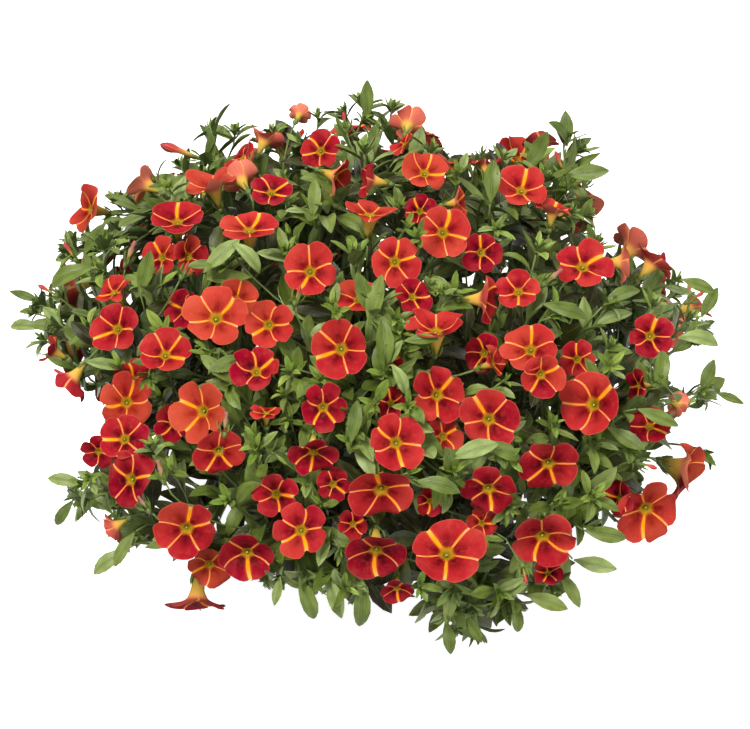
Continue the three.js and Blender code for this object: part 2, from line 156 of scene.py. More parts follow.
# Leafy tips that show: grid place, the way they point on the grid (0 is right and 90 is up,
# None is straight out of the mound), how far they stand off it, and size.
TIPS = [
    (115, 195, 95, 0, 1.0), (208, 130, 135, 4, 1.0), (237, 132, 85, 4, 1.0), (65, 250, 175, 2, 1.1),
    (110, 240, 60, 2, 1.2), (38, 302, 150, 3, 0.9), (48, 325, 180, 0, 0.9), (148, 275, 90, 0, 1.2),
    (222, 255, None, 0, 1.1), (367, 103, 85, 3, 1.1), (342, 112, 120, 3, 1.0), (318, 113, 95, 2, 0.8),
    (296, 135, 120, 0, 0.8), (385, 120, 70, 0, 0.9), (435, 147, 60, 2, 1.0), (400, 200, None, 0, 0.8),
    (313, 200, 90, 2, 1.1), (290, 195, 60, 0, 0.8), (563, 135, 95, 2, 1.1), (582, 152, 20, 3, 1.0),
    (600, 163, 5, 0, 0.8), (578, 210, 10, 0, 0.9), (602, 237, 60, 0, 0.9), (535, 152, 120, 0, 1.2),
    (490, 182, 90, 2, 1.2), (680, 280, 20, 2, 0.9), (694, 312, 60, 0, 0.9), (615, 300, 40, 2, 1.1),
    (330, 300, None, 0, 0.8), (375, 298, 95, 2, 1.3), (400, 330, None, 3, 1.0), (385, 370, None, 2, 0.9),
    (395, 383, -80, 0, 0.8), (290, 370, None, 2, 1.0), (320, 375, None, 0, 0.8), (355, 420, 80, 2, 1.0),
    (350, 440, None, 2, 1.0), (285, 450, 10, 2, 1.0), (255, 445, None, 1, 1.0), (455, 470, None, 2, 1.0),
    (480, 485, 0, 0, 1.0), (697, 340, 20, 2, 1.1), (700, 385, 80, 2, 1.0), (712, 396, -10, 2, 0.8),
    (690, 405, -30, 0, 1.0), (665, 360, 60, 0, 0.9), (655, 375, 90, 0, 1.1), (680, 440, 20, 0, 1.0),
    (455, 599, -95, 0, 1.0), (447, 620, -100, 2, 0.9), (475, 618, -70, 0, 0.9), (515, 612, -80, 2, 0.9),
    (500, 593, None, 2, 1.0), (560, 590, -20, 2, 1.0), (585, 545, 0, 0, 1.0), (597, 530, -5, 0, 1.0),
    (595, 495, None, 2, 1.0), (362, 597, -85, 0, 1.1), (336, 590, -80, 0, 1.0), (310, 590, -75, 0, 1.0),
    (279, 590, -90, 0, 0.8), (262, 588, -110, 0, 0.8), (78, 482, 170, 2, 0.9), (76, 508, -140, 0, 0.9),
    (112, 555, -160, 2, 1.1), (125, 545, None, 2, 1.0), (165, 470, None, 0, 0.9), (30, 315, -170, 2, 0.7),
    (205, 345, None, 0, 0.9), (95, 265, 150, 0, 1.0), (150, 385, -60, 0, 0.8), (235, 395, -60, 0, 1.0),
    (285, 245, None, 0, 0.9), (355, 245, 80, 0, 1.0), (430, 280, 60, 0, 0.8), (455, 285, None, 0, 0.9),
    (540, 240, 80, 0, 1.0), (560, 320, -20, 2, 1.1), (615, 340, 60, 0, 0.9), (600, 440, None, 0, 1.0),
    (515, 440, -30, 0, 1.0), (415, 470, 30, 0, 0.9), (345, 560, -60, 0, 0.9), (420, 590, None, 0, 0.9),
    (225, 500, None, 0, 1.0), (150, 440, 90, 0, 0.8), (80, 430, 120, 0, 0.9), (85, 395, 170, 0, 0.9),
    (596, 212, 10, 0, 0.7), (622, 236, 60, 0, 0.7), (505, 150, 80, 0, 0.8), (395, 100, 60, 0, 0.8),
    (270, 125, 110, 0, 0.8), (175, 160, 130, 0, 0.9), (640, 450, -10, 0, 0.9), (565, 500, 30, 0, 0.9),
]

# Single big leaves that show: grid place of the middle, the way they point, length in grid
# steps, and how far they stand off the mound.
LEAVES = [
    (367, 112, 88, 40, 6), (563, 136, 95, 36, 4), (582, 184, -2, 44, 6), (535, 160, 60, 46, 4),
    (375, 305, 75, 52, 4), (365, 300, 110, 48, 4), (470, 452, 22, 50, 8),
    (437, 485, -10, 46, 6), (645, 420, -25, 44, 8), (694, 342, -4, 46, 4), (722, 398, -22, 30, 4),
    (700, 378, 75, 36, 4), (655, 372, 80, 44, 4), (447, 630, -80, 36, 4), (472, 622, -60, 30, 4),
    (514, 612, -85, 34, 4), (566, 584, -60, 40, 4), (541, 592, -15, 44, 6), (600, 531, -8, 44, 4),
    (362, 600, -88, 52, 4), (336, 592, -70, 44, 4), (310, 595, -65, 48, 4), (280, 586, -100, 30, 4),
    (70, 510, -125, 34, 4), (114, 556, -150, 44, 4), (72, 478, 165, 38, 4), (32, 328, 170, 36, 4),
    (32, 300, 165, 32, 4), (75, 280, -160, 52, 4), (150, 278, 70, 46, 4), (315, 205, 85, 40, 4),
    (224, 262, 40, 50, 4), (490, 188, 88, 44, 4), (355, 425, 80, 44, 6), (285, 452, 12, 44, 6),
    (420, 347, 0, 36, 6), (400, 385, -60, 36, 6), (100, 245, 50, 40, 4),
    (692, 290, -25, 36, 4), (702, 306, 65, 34, 4), (615, 302, 30, 44, 6), (560, 318, -20, 48, 6),
    (205, 370, -85, 40, 4), (225, 378, -95, 38, 4), (130, 545, -120, 40, 4), (590, 560, -10, 44, 4),
    (500, 452, -20, 46, 4), (620, 440, -35, 44, 4), (180, 195, 60, 34, 2), (250, 260, -40, 44, 2),
]

# Buds that show: grid place of the middle, the way they point, length in grid steps, and
# whether they are withered.
BUDS = [
    (183, 160, 168, 34, False), (137, 259, 60, 20, True), (230, 424, 80, 18, True),
    (167, 469, 100, 18, True), (550, 283, 40, 18, True), (190, 276, 60, 12, False),
    (688, 302, 30, 14, False), (555, 170, 120, 18, False), (55, 295, 150, 16, False),
    (77, 257, 120, 16, False), (300, 300, 70, 14, False), (520, 570, -80, 14, False),
    (640, 465, -20, 16, False), (150, 500, 120, 14, True), (345, 130, 100, 14, False),
]

# Round places on the grid where nothing grows: dents in the plant's outline.
CLEARINGS = [
    (662, 184, 66), (735, 238, 60), (468, 100, 47), (24, 433, 64), (82, 414, 22), (82, 556, 30),
    (150, 574, 26), (168, 592, 24), (240, 612, 32), (270, 700, 106), (365, 692, 82), (648, 606, 64),
    (612, 560, 33), (588, 654, 58), (510, 668, 32), (691, 368, 20), (694, 430, 22), (662, 474, 20),
    (15, 225, 40), (52, 165, 56), (185, 113, 21), (38, 376, 22), (612, 222, 14),
    # Gaps that look through the plant
    (166, 492, 13), (196, 479, 8), (225, 516, 9), (240, 529, 6),
]

# ---- How the rest is spread ----

SPREAD = (0.7548776662, 0.569840291)  # steps that fill a square evenly
TRIES = 5000  # places that are looked at for more flowers and tips, until there are enough

# Flowers on the far side. A mound faces the eye from -1 at its back to 1. The part has the
# first of them, the others fill the gaps, and some of those stand where the eye just sees them.
BACK_FLOWERS = 13
BACK_SPACING = 44
BACK_FACES_EYE = -0.35
MORE_BACK_FLOWERS = 80
MORE_BACK_SPACING = 26.5
MORE_FACES_EYE = 0.24
SIDE_FACES_EYE = -0.03  # the most that one faces the eye that doesn't stand behind
BEHIND = 0.2  # the least that the mound slopes backwards there
BACK_SINES = (-0.45, 0.9)  # of the height angle of the lowest and the highest
BACK_WIDTH = 29
BACK_TURNED_UP = 18
FURTHEST_OUT = 1.02  # how far off the mound's middle the eye may see them
CLEAR_OF_TIPS = 27  # grid steps that they keep off a tip of TIPS,
TIPS_FACE_EYE = -0.15  # unless they face the eye less than this

BARE = 0.62  # the share of a flower's radius that no leaf covers
HALF_HIDDEN = 0.25  # and of one that stands this far inside the mound:
SUNK = -3.5

# More leafy tips, in front, behind and beside the flowers that face the eye
TIP_SINES = (-0.7, 0.97)
TIPS_BEHIND_EYE = -0.12  # the side of the mound that faces the eye less is the far one
FRONT_TIPS = 38
FRONT_TIP_SPACING = 19
BACK_TIP_SINES = (-0.62, 0.96)
BACK_TIPS = 112
BACK_TIP_SPACING = 23
RIM_TIPS = 0.5  # of the flowers in front have one beside them
RIM_TIP_TRIES = 8
TIP_MARGIN = 8  # grid steps between them and a clearing

# Side stems inside the mound, which fill it with leaves
FILLERS = 600
BACK_FILLERS = 420  # more of them, of which only those behind are grown
BACK_FILLER_FACES_EYE = 0.25
FILLER_REACH = (0.36, 0.9)
FILLER_MARGIN = 6

HOLE = 3  # a side of the smallest hole that a leaf inside the plant closes, in grid steps
HOLE_OFF_MIDDLE = 0.8  # the furthest off the mound's middle that a hole is closed
HOLE_DEPTH = (25, 60)  # of that leaf, behind the mound's surface
HOLE_TRIES = 4
LOWEST_FILL = 85  # above the floor, where such a leaf is still in the mound

LEAST_LEAVES = 4  # a side stem with fewer isn't kept
LONG_STEM = 40  # mm more of it count as much as a place where it crosses a flower
SIDE_BOW = 0.35
STEM_SHARES = np.arange(0.3, 0.97, 0.03)  # the places along a shoot where it may branch
FIRST_BRANCH = 0.28

LEAF_LENGTH = 24
LEAF_WIDTH = 9.2
LEAF_THICKNESS = 0.5
LEAF_SPACING = 8.5
SMALL_LEAF = 13  # a young leaf shorter than this has a simpler shape

# ---- Places and directions ----

UP = np.array([0.0, 0.0, 1.0])


def radians(angle):
    return angle * math.pi / 180


def unit(v):
    return v / np.linalg.norm(v, axis=-1, keepdims=True)


def slanting(around, slope):
    """The direction at that turn about the pot's axis, rising at that slope."""
    a, s = radians(around), radians(slope)
    return np.array([math.cos(a) * math.cos(s), math.sin(a) * math.cos(s), math.sin(s)])


def mound_point(around, height, reach=1.0):
    return slanting(around, height) * MOUND_SIZE * reach + MOUND_CENTRE


def mound_slope(point):
    return unit((point - MOUND_CENTRE) / MOUND_SIZE**2)


def spread_point(n, lowest, highest, reach=1.0):
    """The nth of a row of points spread evenly over the mound, between two sines of height."""
    around = 360 * (n * SPREAD[0] % 1)
    sine = lowest + (highest - lowest) * (n * SPREAD[1] % 1)
    return mound_point(around, math.degrees(math.asin(sine)), reach)


def spread_points(shift, sines):
    """The points of such a row, each with the mound's slope there."""
    for n in range(1, TRIES + 1):
        point = spread_point(n + shift, *sines)
        yield point, mound_slope(point)


TO_EYE = slanting(-90, EYE_ELEVATION)
EYE_RIGHT = np.array([1.0, 0.0, 0.0])
EYE_UP = np.cross(TO_EYE, EYE_RIGHT)
EYE = MOUND_CENTRE + TO_EYE * EYE_DISTANCE


def grid_point(x, y):
    """Where the sight line through that grid place meets the mound, or passes nearest to it."""
    across = EYE_RIGHT * (x - GRID_MIDDLE[0]) * GRID_STEP
    sight = -TO_EYE * EYE_DISTANCE + across + EYE_UP * (GRID_MIDDLE[1] - y) * GRID_STEP
    start, way = (EYE - MOUND_CENTRE) / MOUND_SIZE, sight / MOUND_SIZE
    a, b, c = way @ way, start @ way, start @ start - 1
    share = (-b - math.sqrt(max(0.0, b * b - a * c))) / a
    return EYE + sight * share


def grid_place(points):
    """Where the eye sees points on the grid."""
    d = points - EYE
    scale = EYE_DISTANCE / GRID_STEP / -(d @ TO_EYE)
    x, y = GRID_MIDDLE
    return np.stack([x + d @ EYE_RIGHT * scale, y - d @ EYE_UP * scale], -1)


def off_middle(points):
    """How far off the mound's middle the eye sees these points: 0 is on it, 1 on the outline."""
    start = (EYE - MOUND_CENTRE) / MOUND_SIZE
    ways = unit((points - EYE) / MOUND_SIZE)
    return np.sqrt(start @ start - (ways @ start) ** 2)


def cleared(points, margin=0.0):
    """Which of the points lie in a clearing, or within that margin round one."""
    clearings = np.array(CLEARINGS)
    away = grid_place(np.atleast_2d(points))[:, None] - clearings[None, :, :2]
    return (np.linalg.norm(away, axis=-1) < clearings[:, 2] + margin).any(axis=1)


def in_clearing(points, margin=0.0):
    return cleared(points, margin).any()


def leaning(way, side, spread):
    """From way towards side, by that angle in radians."""
    return way * math.cos(spread) + side * math.sin(spread)


def grid_way(angle, towards=0.0):
    """The direction at that angle on the grid, leaning towards the eye by that share."""
    return unit(leaning(EYE_RIGHT, EYE_UP, radians(angle)) + TO_EYE * towards)


def turned_way(right, up):
    """The direction to the eye, turned by those angles."""
    r, u = radians(right), radians(up)
    across = EYE_RIGHT * math.sin(r) * math.cos(u)
    return across + EYE_UP * math.sin(u) + TO_EYE * math.cos(r) * math.cos(u)


def on_mound(x, y):
    """The mound's point at that grid place, its slope there, and how long a grid step is there."""
    point = grid_point(x, y)
    return point, mound_slope(point), GRID_STEP * np.linalg.norm(EYE - point) / EYE_DISTANCE


def basis(along, normal):
    """A matrix whose columns are the side, the length and the normal of a flat thing."""
    along = unit(along)
    side = np.cross(along, normal)
    if np.linalg.norm(side) < 1e-3:
        side = np.cross(along, [0.31, 0.52, 0.8])
    side = unit(side)
    return np.stack([side, along, np.cross(side, along)], axis=1)


def aside(frame, angle):
    """A direction across the length of that basis, at that angle in radians from its side."""
    return leaning(frame[:, 0], frame[:, 2], angle)


def upright(way):
    """A matrix that turns what is made along +Z to that way."""
    return basis(way, UP)[:, [0, 2, 1]] * [-1, 1, 1]


def bezier(points, share):
    s = np.asarray(share, float)[..., None]
    a, b, c, d = points
    return a * (1 - s) ** 3 + b * 3 * s * (1 - s) ** 2 + c * 3 * s**2 * (1 - s) + d * s**3


def bezier_way(points, share):
    """The direction of the curve at that share of it."""
    s = np.asarray(share, float)[..., None]
    a, b, c, d = points
    return unit((b - a) * (1 - s) ** 2 + (c - b) * 2 * s * (1 - s) + (d - c) * s**2 + 1e-9)


def curve_between(start, leaving, end, arriving, bow):
    """The four points of a curve that leaves and arrives in those directions."""
    span = np.linalg.norm(end - start)
    return start, start + leaving * span * bow, end - arriving * span * bow, end


def main_stems():
    stems = []
    for count, turn, height, leave, droop in SHOOT_RINGS:
        for i in range(count):
            around = turn + 360 * i / count
            leaving, arriving = slanting(around, leave), slanting(around, droop)
            start = np.array([0, 0, CROWN_MIDDLE]) + leaving * (CROWN_RADIUS + SEAT_GAP)
            tip = mound_point(around, height, SHOOT_REACH)
            stems.append(curve_between(start, leaving, tip, arriving, SHOOT_BOW))
    return stems


# ---- Where the flowers are ----


class Flower:
    """Where a flower's face is and which way it looks, its width and tone, and the angle of its
    widest stripe, or None for any."""

    def __init__(self, face, facing, width, tone, stripe=None, bare=BARE):
        self.face, self.facing, self.width, self.tone = face, facing, width, tone
        self.stripe, self.bare = stripe, bare
        self.size = width / FLOWER_WIDTH
        self.foot = face - facing * (TUBE_LENGTH + LIMB_RISE) * self.size

    def disc(self, reaches):
        """Points all over its face, at these shares of its radius."""
        frame = basis(self.facing, UP)
        turns = np.radians(np.arange(0, 360, 10))[:, None, None]
        around = frame[:, 0] * np.cos(turns) + frame[:, 2] * np.sin(turns)
        return self.face + (around * np.array(reaches)[:, None]).reshape(-1, 3) * self.width / 2

    def sticks_out(self):
        """Whether the eye sees it past the mound's outline or in a clearing."""
        rim = self.disc([1.0])
        return in_clearing(rim) or off_middle(rim).max() > FURTHEST_OUT


def front_flower(x, y, steps, right, up, lift, tone, stripe=None):
    point, _, step = on_mound(x, y)
    face = point + unit(EYE - point) * lift
    if stripe is not None:
        # Turned flowers look narrow, and the angle is the one that the eye sees.
        a, wide, high = radians(stripe), math.cos(radians(right)), math.cos(radians(up))
        stripe = math.degrees(math.atan2(math.sin(a) / high, math.cos(a) / wide))
    bare = HALF_HIDDEN if lift < SUNK else BARE
    return Flower(face, turned_way(right, up), steps * step, tone, stripe, bare)


def back_flowers(count, spacing, faces_eye, others, dice, varied):
    """Flowers that are spread evenly, or varied a little and kept off the tips of TIPS."""
    found = []
    tips = np.array([tip[:2] for tip in TIPS])
    for face, slope in spread_points(0, BACK_SINES):
        seen = slope @ TO_EYE
        off_tips = np.linalg.norm(grid_place(face) - tips, axis=1).min()
        over_tip = varied and seen > TIPS_FACE_EYE and off_tips < CLEAR_OF_TIPS
        near = any(np.linalg.norm(f.face - face) < spacing for f in others + found)
        limit = faces_eye if slope[1] > BEHIND else min(faces_eye, SIDE_FACES_EYE)
        if over_tip or near or seen > limit:
            continue
        facing = unit(slope + UP * math.sin(radians(BACK_TURNED_UP)))
        width = BACK_WIDTH
        if varied:
            facing = unit(facing + dice.normal(0, 0.3, 3))
            face = face + slope * dice.uniform(-9, 3)
            width *= 1 + dice.uniform(-0.16, 0.1)
        flower = Flower(face, facing, width, dice.uniform(0, 0.9))
        if not varied or not flower.sticks_out():
            found.append(flower)
        if len(found) == count:
            break
    return found


# ---- Meshes ----

CELLS = 4  # a side of the sheet of leaf patterns, whose cells are counted from 0
SHADED, INNER_SHADED, SUNNY = range(4), range(3), range(3, 8)
YOUNG, UNDERSIDE, SEPAL, BUD, STEM = range(8, 11), range(11, 13), 13, 14, 15


def cell_uv(cell, u, v):
    """Places on the sheet, from places in one of its cells."""
    return np.stack([cell % CELLS + u, cell // CELLS + v], 1) / CELLS


def joined(faces):
    """The corners of all the faces in one row, and how many each face has."""
    return np.array([i for f in faces for i in f]), np.array([len(f) for f in faces])


def starts_of(sizes):
    return np.concatenate([[0], np.cumsum(sizes)[:-1]])


class Pile:
    """Many small shapes that become one mesh."""

    def __init__(self):
        self.shapes, self.count = [], 0

    def add(self, points, corners, sizes, uv, slot, rim=False, petal=(0, 0, 0), tone=0.0):
        """slot is each face's material. rim tells which points lie on a sharp edge, and petal
        and tone are what the petals' materials read at each point."""
        n = len(points)
        looks = [np.broadcast_to(rim, n), np.broadcast_to(petal, (n, 3)), np.broadcast_to(tone, n)]
        slots = np.broadcast_to(slot, len(sizes))
        self.shapes.append((points, corners + self.count, sizes, uv, slots, *looks))
        self.count += n

    def mark(self):
        return len(self.shapes), self.count

    def undo(self, mark):
        """Takes out all that came after the mark."""
        first, self.count = mark
        del self.shapes[first:]

    def columns(self):
        return [np.concatenate(column) for column in zip(*self.shapes)]

    def spots(self):
        """All its points, the middles of its faces, and the places half way between those."""
        points, corners, sizes, *_ = self.columns()
        middles = np.add.reduceat(points[corners], starts_of(sizes)) / sizes[:, None]
        between = (points[corners] + np.repeat(middles, sizes, axis=0)) / 2
        return np.concatenate([points, middles, between])

    def add_leaf(self, shape, matrix, place, length, width, top, bottom):
        """Puts a leaf there. Its width is a share of its length."""
        points, corners, sizes, flat, sides, rim = shape
        placed = (points * [width * length, length, length]) @ matrix.T + place
        cell = np.where(sides, bottom, top)
        uv = cell_uv(cell, 0.5 + 0.46 * flat[:, 0], 0.04 + 0.92 * flat[:, 1])
        self.add(placed, corners, sizes, uv, 0, rim)

    def build(self, name, materials, petals=False):
        points, corners, sizes, uvs, slots, rims, places, tones = self.columns()
        mesh = bpy.data.meshes.new(name)

        def fill(rows, key, values, kind):
            rows.foreach_set(key, values.astype(kind).ravel())

        mesh.vertices.add(len(points))
        mesh.loops.add(len(corners))
        mesh.polygons.add(len(sizes))
        fill(mesh.vertices, "co", points * MM, np.float32)
        fill(mesh.loops, "vertex_index", corners, np.int32)
        fill(mesh.polygons, "loop_start", starts_of(sizes), np.int32)
        mesh.update(calc_edges=True)
        fill(mesh.polygons, "material_index", slots, np.int32)
        fill(mesh.polygons, "use_smooth", np.ones(len(sizes)), bool)
        for material in materials:
            mesh.materials.append(material)
        fill(mesh.uv_layers.new(name="OFBake").data, "uv", uvs, np.float32)
        ends = np.zeros(len(mesh.edges) * 2, np.int32)
        mesh.edges.foreach_get("vertices", ends)
        sharp = mesh.attributes.new("sharp_edge", "BOOLEAN", "EDGE")
        fill(sharp.data, "value", rims[ends.reshape(-1, 2)].all(1), bool)
        if petals:
            petal = mesh.attributes.new("petal", "FLOAT_VECTOR", "POINT")
            fill(petal.data, "vector", places, np.float32)
            tone = mesh.attributes.new("tone", "FLOAT", "POINT")
            fill(tone.data, "value", tones, np.float32)
        return linked(bpy.data.objects.new(name, mesh))


def linked(made):
    bpy.context.collection.objects.link(made)
    return made


def leaf_shape(rows, across, bend, fold, twist):
    """A leaf of length and width 1 along +Y, its upper side up, as a closed thin shell.

    It bends back over its length, folds up along its midrib and twists towards its tip.
    """
    points, flat, rim, nets = [], [], [], ([], [])
    bend, fold, twist = radians(bend), radians(fold), radians(twist)
    narrow = LEAF_WIDTH / LEAF_LENGTH

    def add(x, t, thick, on_rim):
        f = bend * (t - 0.25)
        normal = np.array([0, math.sin(f), math.cos(f)])
        centre = (normal + [0, math.sin(bend / 4), -math.cos(bend / 4)]) / bend
        width = max(0.09, math.sin(math.pi * t**1.12) ** 0.82) if t < 1 else 0
        side = x * width / 2 * math.cos(fold)
        high = abs(x) * width / 2 * math.sin(fold) * narrow + thick
        turn = twist * t
        right = np.array([side * math.cos(turn) - high * math.sin(turn), 0, 0])
        points.append(centre + right + normal * (side * math.sin(turn) * narrow + high * math.cos(turn)))
        flat.append((x * width, t))
        rim.append(on_rim)
        return len(points) - 1

    half = LEAF_THICKNESS / LEAF_LENGTH / 2
    for t in rows:
        upper, lower = [], []
        for x in across:
            edge = abs(x) == 1 or t == 0
            midrib = x == 0 and not edge
            # The midrib stands out below
            upper.append(add(x, t, 0 if edge else half * (0.32 if midrib else 1), edge))
            lower.append(upper[-1] if edge else add(x, t, -half * (1.6 if midrib else 1), False))
        nets[0].append(upper)
        nets[1].append(lower)
    tip = add(0, 1.0, 0, True)
    faces, sides = [], []
    for i in range(len(rows)):
        for j in range(len(across) - 1):
            for side, net in enumerate(nets):
                end = net[i + 1][j : j + 2][::-1] if i + 1 < len(rows) else [tip]
                face = net[i][j : j + 2] + end
                faces.append(face[::-1] if side else face)
                sides += [side] * len(face)
    corners, sizes = joined(faces)
    return np.array(points), corners, sizes, np.array(flat)[corners], np.array(sides), np.array(rim)


def leaf_shapes(rows, across, *bends):
    return [leaf_shape(rows, across, *bend) for bend in bends]


BIG_LEAVES = leaf_shapes(
    (0, 0.09, 0.25, 0.44, 0.63, 0.81, 0.94), (-1, -0.5, 0, 0.5, 1),
    (25, 14, 10), (45, 20, -14), (10, 26, 16), (60, 12, -6),
    (-14, 18, -18), (34, 30, 4), (18, 8, 26), (80, 22, 8),
)
INNER_LEAVES = leaf_shapes(
    (0, 0.12, 0.36, 0.62, 0.86), (-1, 0, 1), (30, 16, 10), (55, 22, -14), (-12, 20, 12)
)
SMALL_LEAVES = leaf_shapes((0, 0.2, 0.5, 0.8), (-1, 0, 1), (-30, 24, 0), (20, 20, 14), (50, 26, -12))


def tube(points, radii, sides):
    """A closed round tube along points: its points, the corners and sizes of its faces, and
    each point's share of the way round and along it."""
    points = np.asarray(points)
    ways = unit(np.gradient(points, axis=0) + 1e-9)
    side = unit(np.cross(ways[0], [0.2, 0.31, 0.93]))
    turns = (np.arange(sides) * 2 * math.pi / sides)[:, None]
    rings = []
    for p, way, radius in zip(points, ways, radii):
        side = unit(side - way * (side @ way))
        rings.append(p + radius * (np.cos(turns) * side + np.sin(turns) * np.cross(way, side)))
    last = len(points) - 1
    i, j = np.meshgrid(np.arange(last), np.arange(sides), indexing="ij")
    here, beside = i * sides + j, i * sides + (j + 1) % sides
    quads = np.stack([here, beside, beside + sides, here + sides], -1)
    caps = [np.arange(sides)[::-1], np.arange(sides) + last * sides]
    corners = np.concatenate([quads.ravel(), *caps])
    sizes = np.append(np.full(last * sides, 4), [sides, sides])
    round_it = np.tile(np.arange(sides) / sides, last + 1)
    return np.concatenate(rings), corners, sizes, round_it, np.repeat(np.arange(last + 1) / last, sides)


def add_stem(pile, points, radii, ages, sides=6):
    """A stem along points. Its pattern runs from ages[0], woody, to ages[1], fresh."""
    made, corners, sizes, u, v = tube(points, radii, sides)
    age = ages[0] + (ages[1] - ages[0]) * v
    # The pattern doesn't change round a stem, so its last strip may run back over the others.
    uv = cell_uv(STEM, 0.1 + 0.8 * u, 0.05 + 0.9 * age)
    pile.add(made, corners, sizes, uv[corners], 1)


def lathe(profile, sides):
    """Points and faces of a closed shape that is round about +Z. The profile is (radius, height)
    and goes from the bottom of the axis out and up to its top, or round and back to its start."""
    points, rows = [], []
    for r, z in profile:
        at_axis = r < 1e-6
        first = len(points)
        turns = [0] if at_axis else np.arange(sides) * 2 * math.pi / sides
        points.extend((r * math.cos(t), r * math.sin(t), z) for t in turns)
        rows.append([first] * sides if at_axis else range(first, len(points)))
    if np.allclose(profile[0], profile[-1]):
        del points[-sides:]
        rows[-1] = rows[0]
    faces = []
    for a, b in zip(rows, rows[1:]):
        for j in range(sides):
            k = (j + 1) % sides
            faces.append(list(dict.fromkeys((a[j], a[k], b[k], b[j]))))
    return np.array(points, float), [face for face in faces if len(face) > 2]


# ---- Flowers ----

# A corolla's rings at half a flower's width of 15, as radius and height over its tube: the
# front from the throat to the rim, then the back from the rim to the foot of the tube.
FRONT_RINGS = [
    (0.9, -2.7), (1.4, -1.9), (2.1, -1.1), (3.1, -0.5), (4.8, -0.05), (7.3, 0.25),
    (9.6, 0.6), (11.6, 0.95), (13.3, 1.25), (14.4, 1.4), (15, 1.35),
]
BACK_RINGS = [
    (13.9, 0.9), (11.4, 0.4), (8.4, -0.15), (6.2, -0.9), (4.9, -2.0),
    (4.0, -3.8), (3.1, -6.5), (2.2, -10), (1.4, -14),
]
RINGS = FRONT_RINGS + BACK_RINGS
RIM_RADIUS = FRONT_RINGS[-1][0]
THROAT_RADIUS = 4  # inside it, a flower is round
FRONT_SHARES = [r / RIM_RADIUS for r, _ in FRONT_RINGS]
BACK_SHARES = [1 - (i + 1) / len(BACK_RINGS) for i in range(len(BACK_RINGS))]
HALF_LOBE = (0, 0.28, 0.54, 0.78, 0.93)  # of the way from a lobe's middle to its side
STIGMA = [(0, -3.3), (0.25, -3.3), (0.25, -2.2), (0.42, -1.8), (0.5, -1.45), (0.32, -1.2), (0, -1.1)]
STIGMA_FOOT = -3.3
STIGMA_LEAN = 0.8
# Where a flower's front and back lie on its patch of the map, with the radius there
FRONT_DISC = (0.345, 0.345, 0.335)
BACK_DISC = (0.77, 0.77, 0.22)
STIGMA_PATCH = (0.9, 0.04)
STIGMA_PATCH_SIZE = (0.03, 0.08)


def lobe_turns():
    """For each point round a flower: the lobe it is on, and its place from -1 to 1 across it."""
    across = [-1.0] + [-s for s in HALF_LOBE[:0:-1]] + list(HALF_LOBE)
    return np.repeat(np.arange(LOBES), len(across)), np.tile(across, LOBES)


LOBE, ACROSS = lobe_turns()
AROUND = len(LOBE)


def flower_faces():
    """The corners and sizes of a corolla's faces, and 0 for each in front, 1 for each behind."""
    faces, slots = [], []
    for i in range(len(RINGS) - 1):
        for j in range(i * AROUND, (i + 1) * AROUND):
            k = j + 1 if j + 1 < (i + 1) * AROUND else i * AROUND
            faces.append([j, j + AROUND, k + AROUND, k])
            slots.append(int(i >= len(FRONT_RINGS) - 1))
    points, end = len(RINGS) * AROUND, (len(RINGS) - 1) * AROUND
    for j in range(AROUND):
        k = (j + 1) % AROUND
        faces += [[points, j, k], [points + 1, end + k, end + j]]
        slots += [0, 1]
    return *joined(faces), np.array(slots)


CORNERS, FACE_SIZES, FACE_SLOTS = flower_faces()


def corolla_uv(turns):
    """The map of a corolla: a disc for its front and one for its back with the tube inside."""
    ring = np.minimum(CORNERS // AROUND, len(RINGS) - 1)
    front = np.repeat(FACE_SLOTS, FACE_SIZES) == 0
    front_reach = np.array(FRONT_SHARES + [1.0] * len(BACK_RINGS))[ring] * FRONT_DISC[2]
    back_reach = np.maximum([1.0] * len(FRONT_RINGS) + BACK_SHARES, 0.03)[ring] * BACK_DISC[2]
    reach = np.where(front, front_reach, back_reach) * (CORNERS < len(RINGS) * AROUND)
    turn = turns[CORNERS % AROUND]
    middle = np.where(front[:, None], FRONT_DISC[:2], BACK_DISC[:2])
    return middle + reach[:, None] * np.stack([np.cos(turn), np.sin(turn)], 1)


def from_side_to_side(values, full_turn=0):
    """Angles round a flower that run evenly from each lobe's value to the next one's."""
    after = np.append(values[1:], values[0] + full_turn)
    return np.radians(values[LOBE] + (after - values)[LOBE] * (ACROSS + 1) / 2)


def stripe_widths(dice, first_is_widest):
    """Half the width of the stripe at each point round a flower. Two of five are wide."""
    wide = dice.uniform(0.021, 0.033, LOBES)
    order = dice.permutation(LOBES)
    if first_is_widest:
        order = np.append(0, 1 + dice.permutation(LOBES - 1))
    wide[order[0]] = dice.uniform(0.045, 0.07)
    wide[order[1]] = dice.uniform(0.03, 0.05)
    return np.where(ACROSS < 0, wide[LOBE], wide[(LOBE + 1) % LOBES])


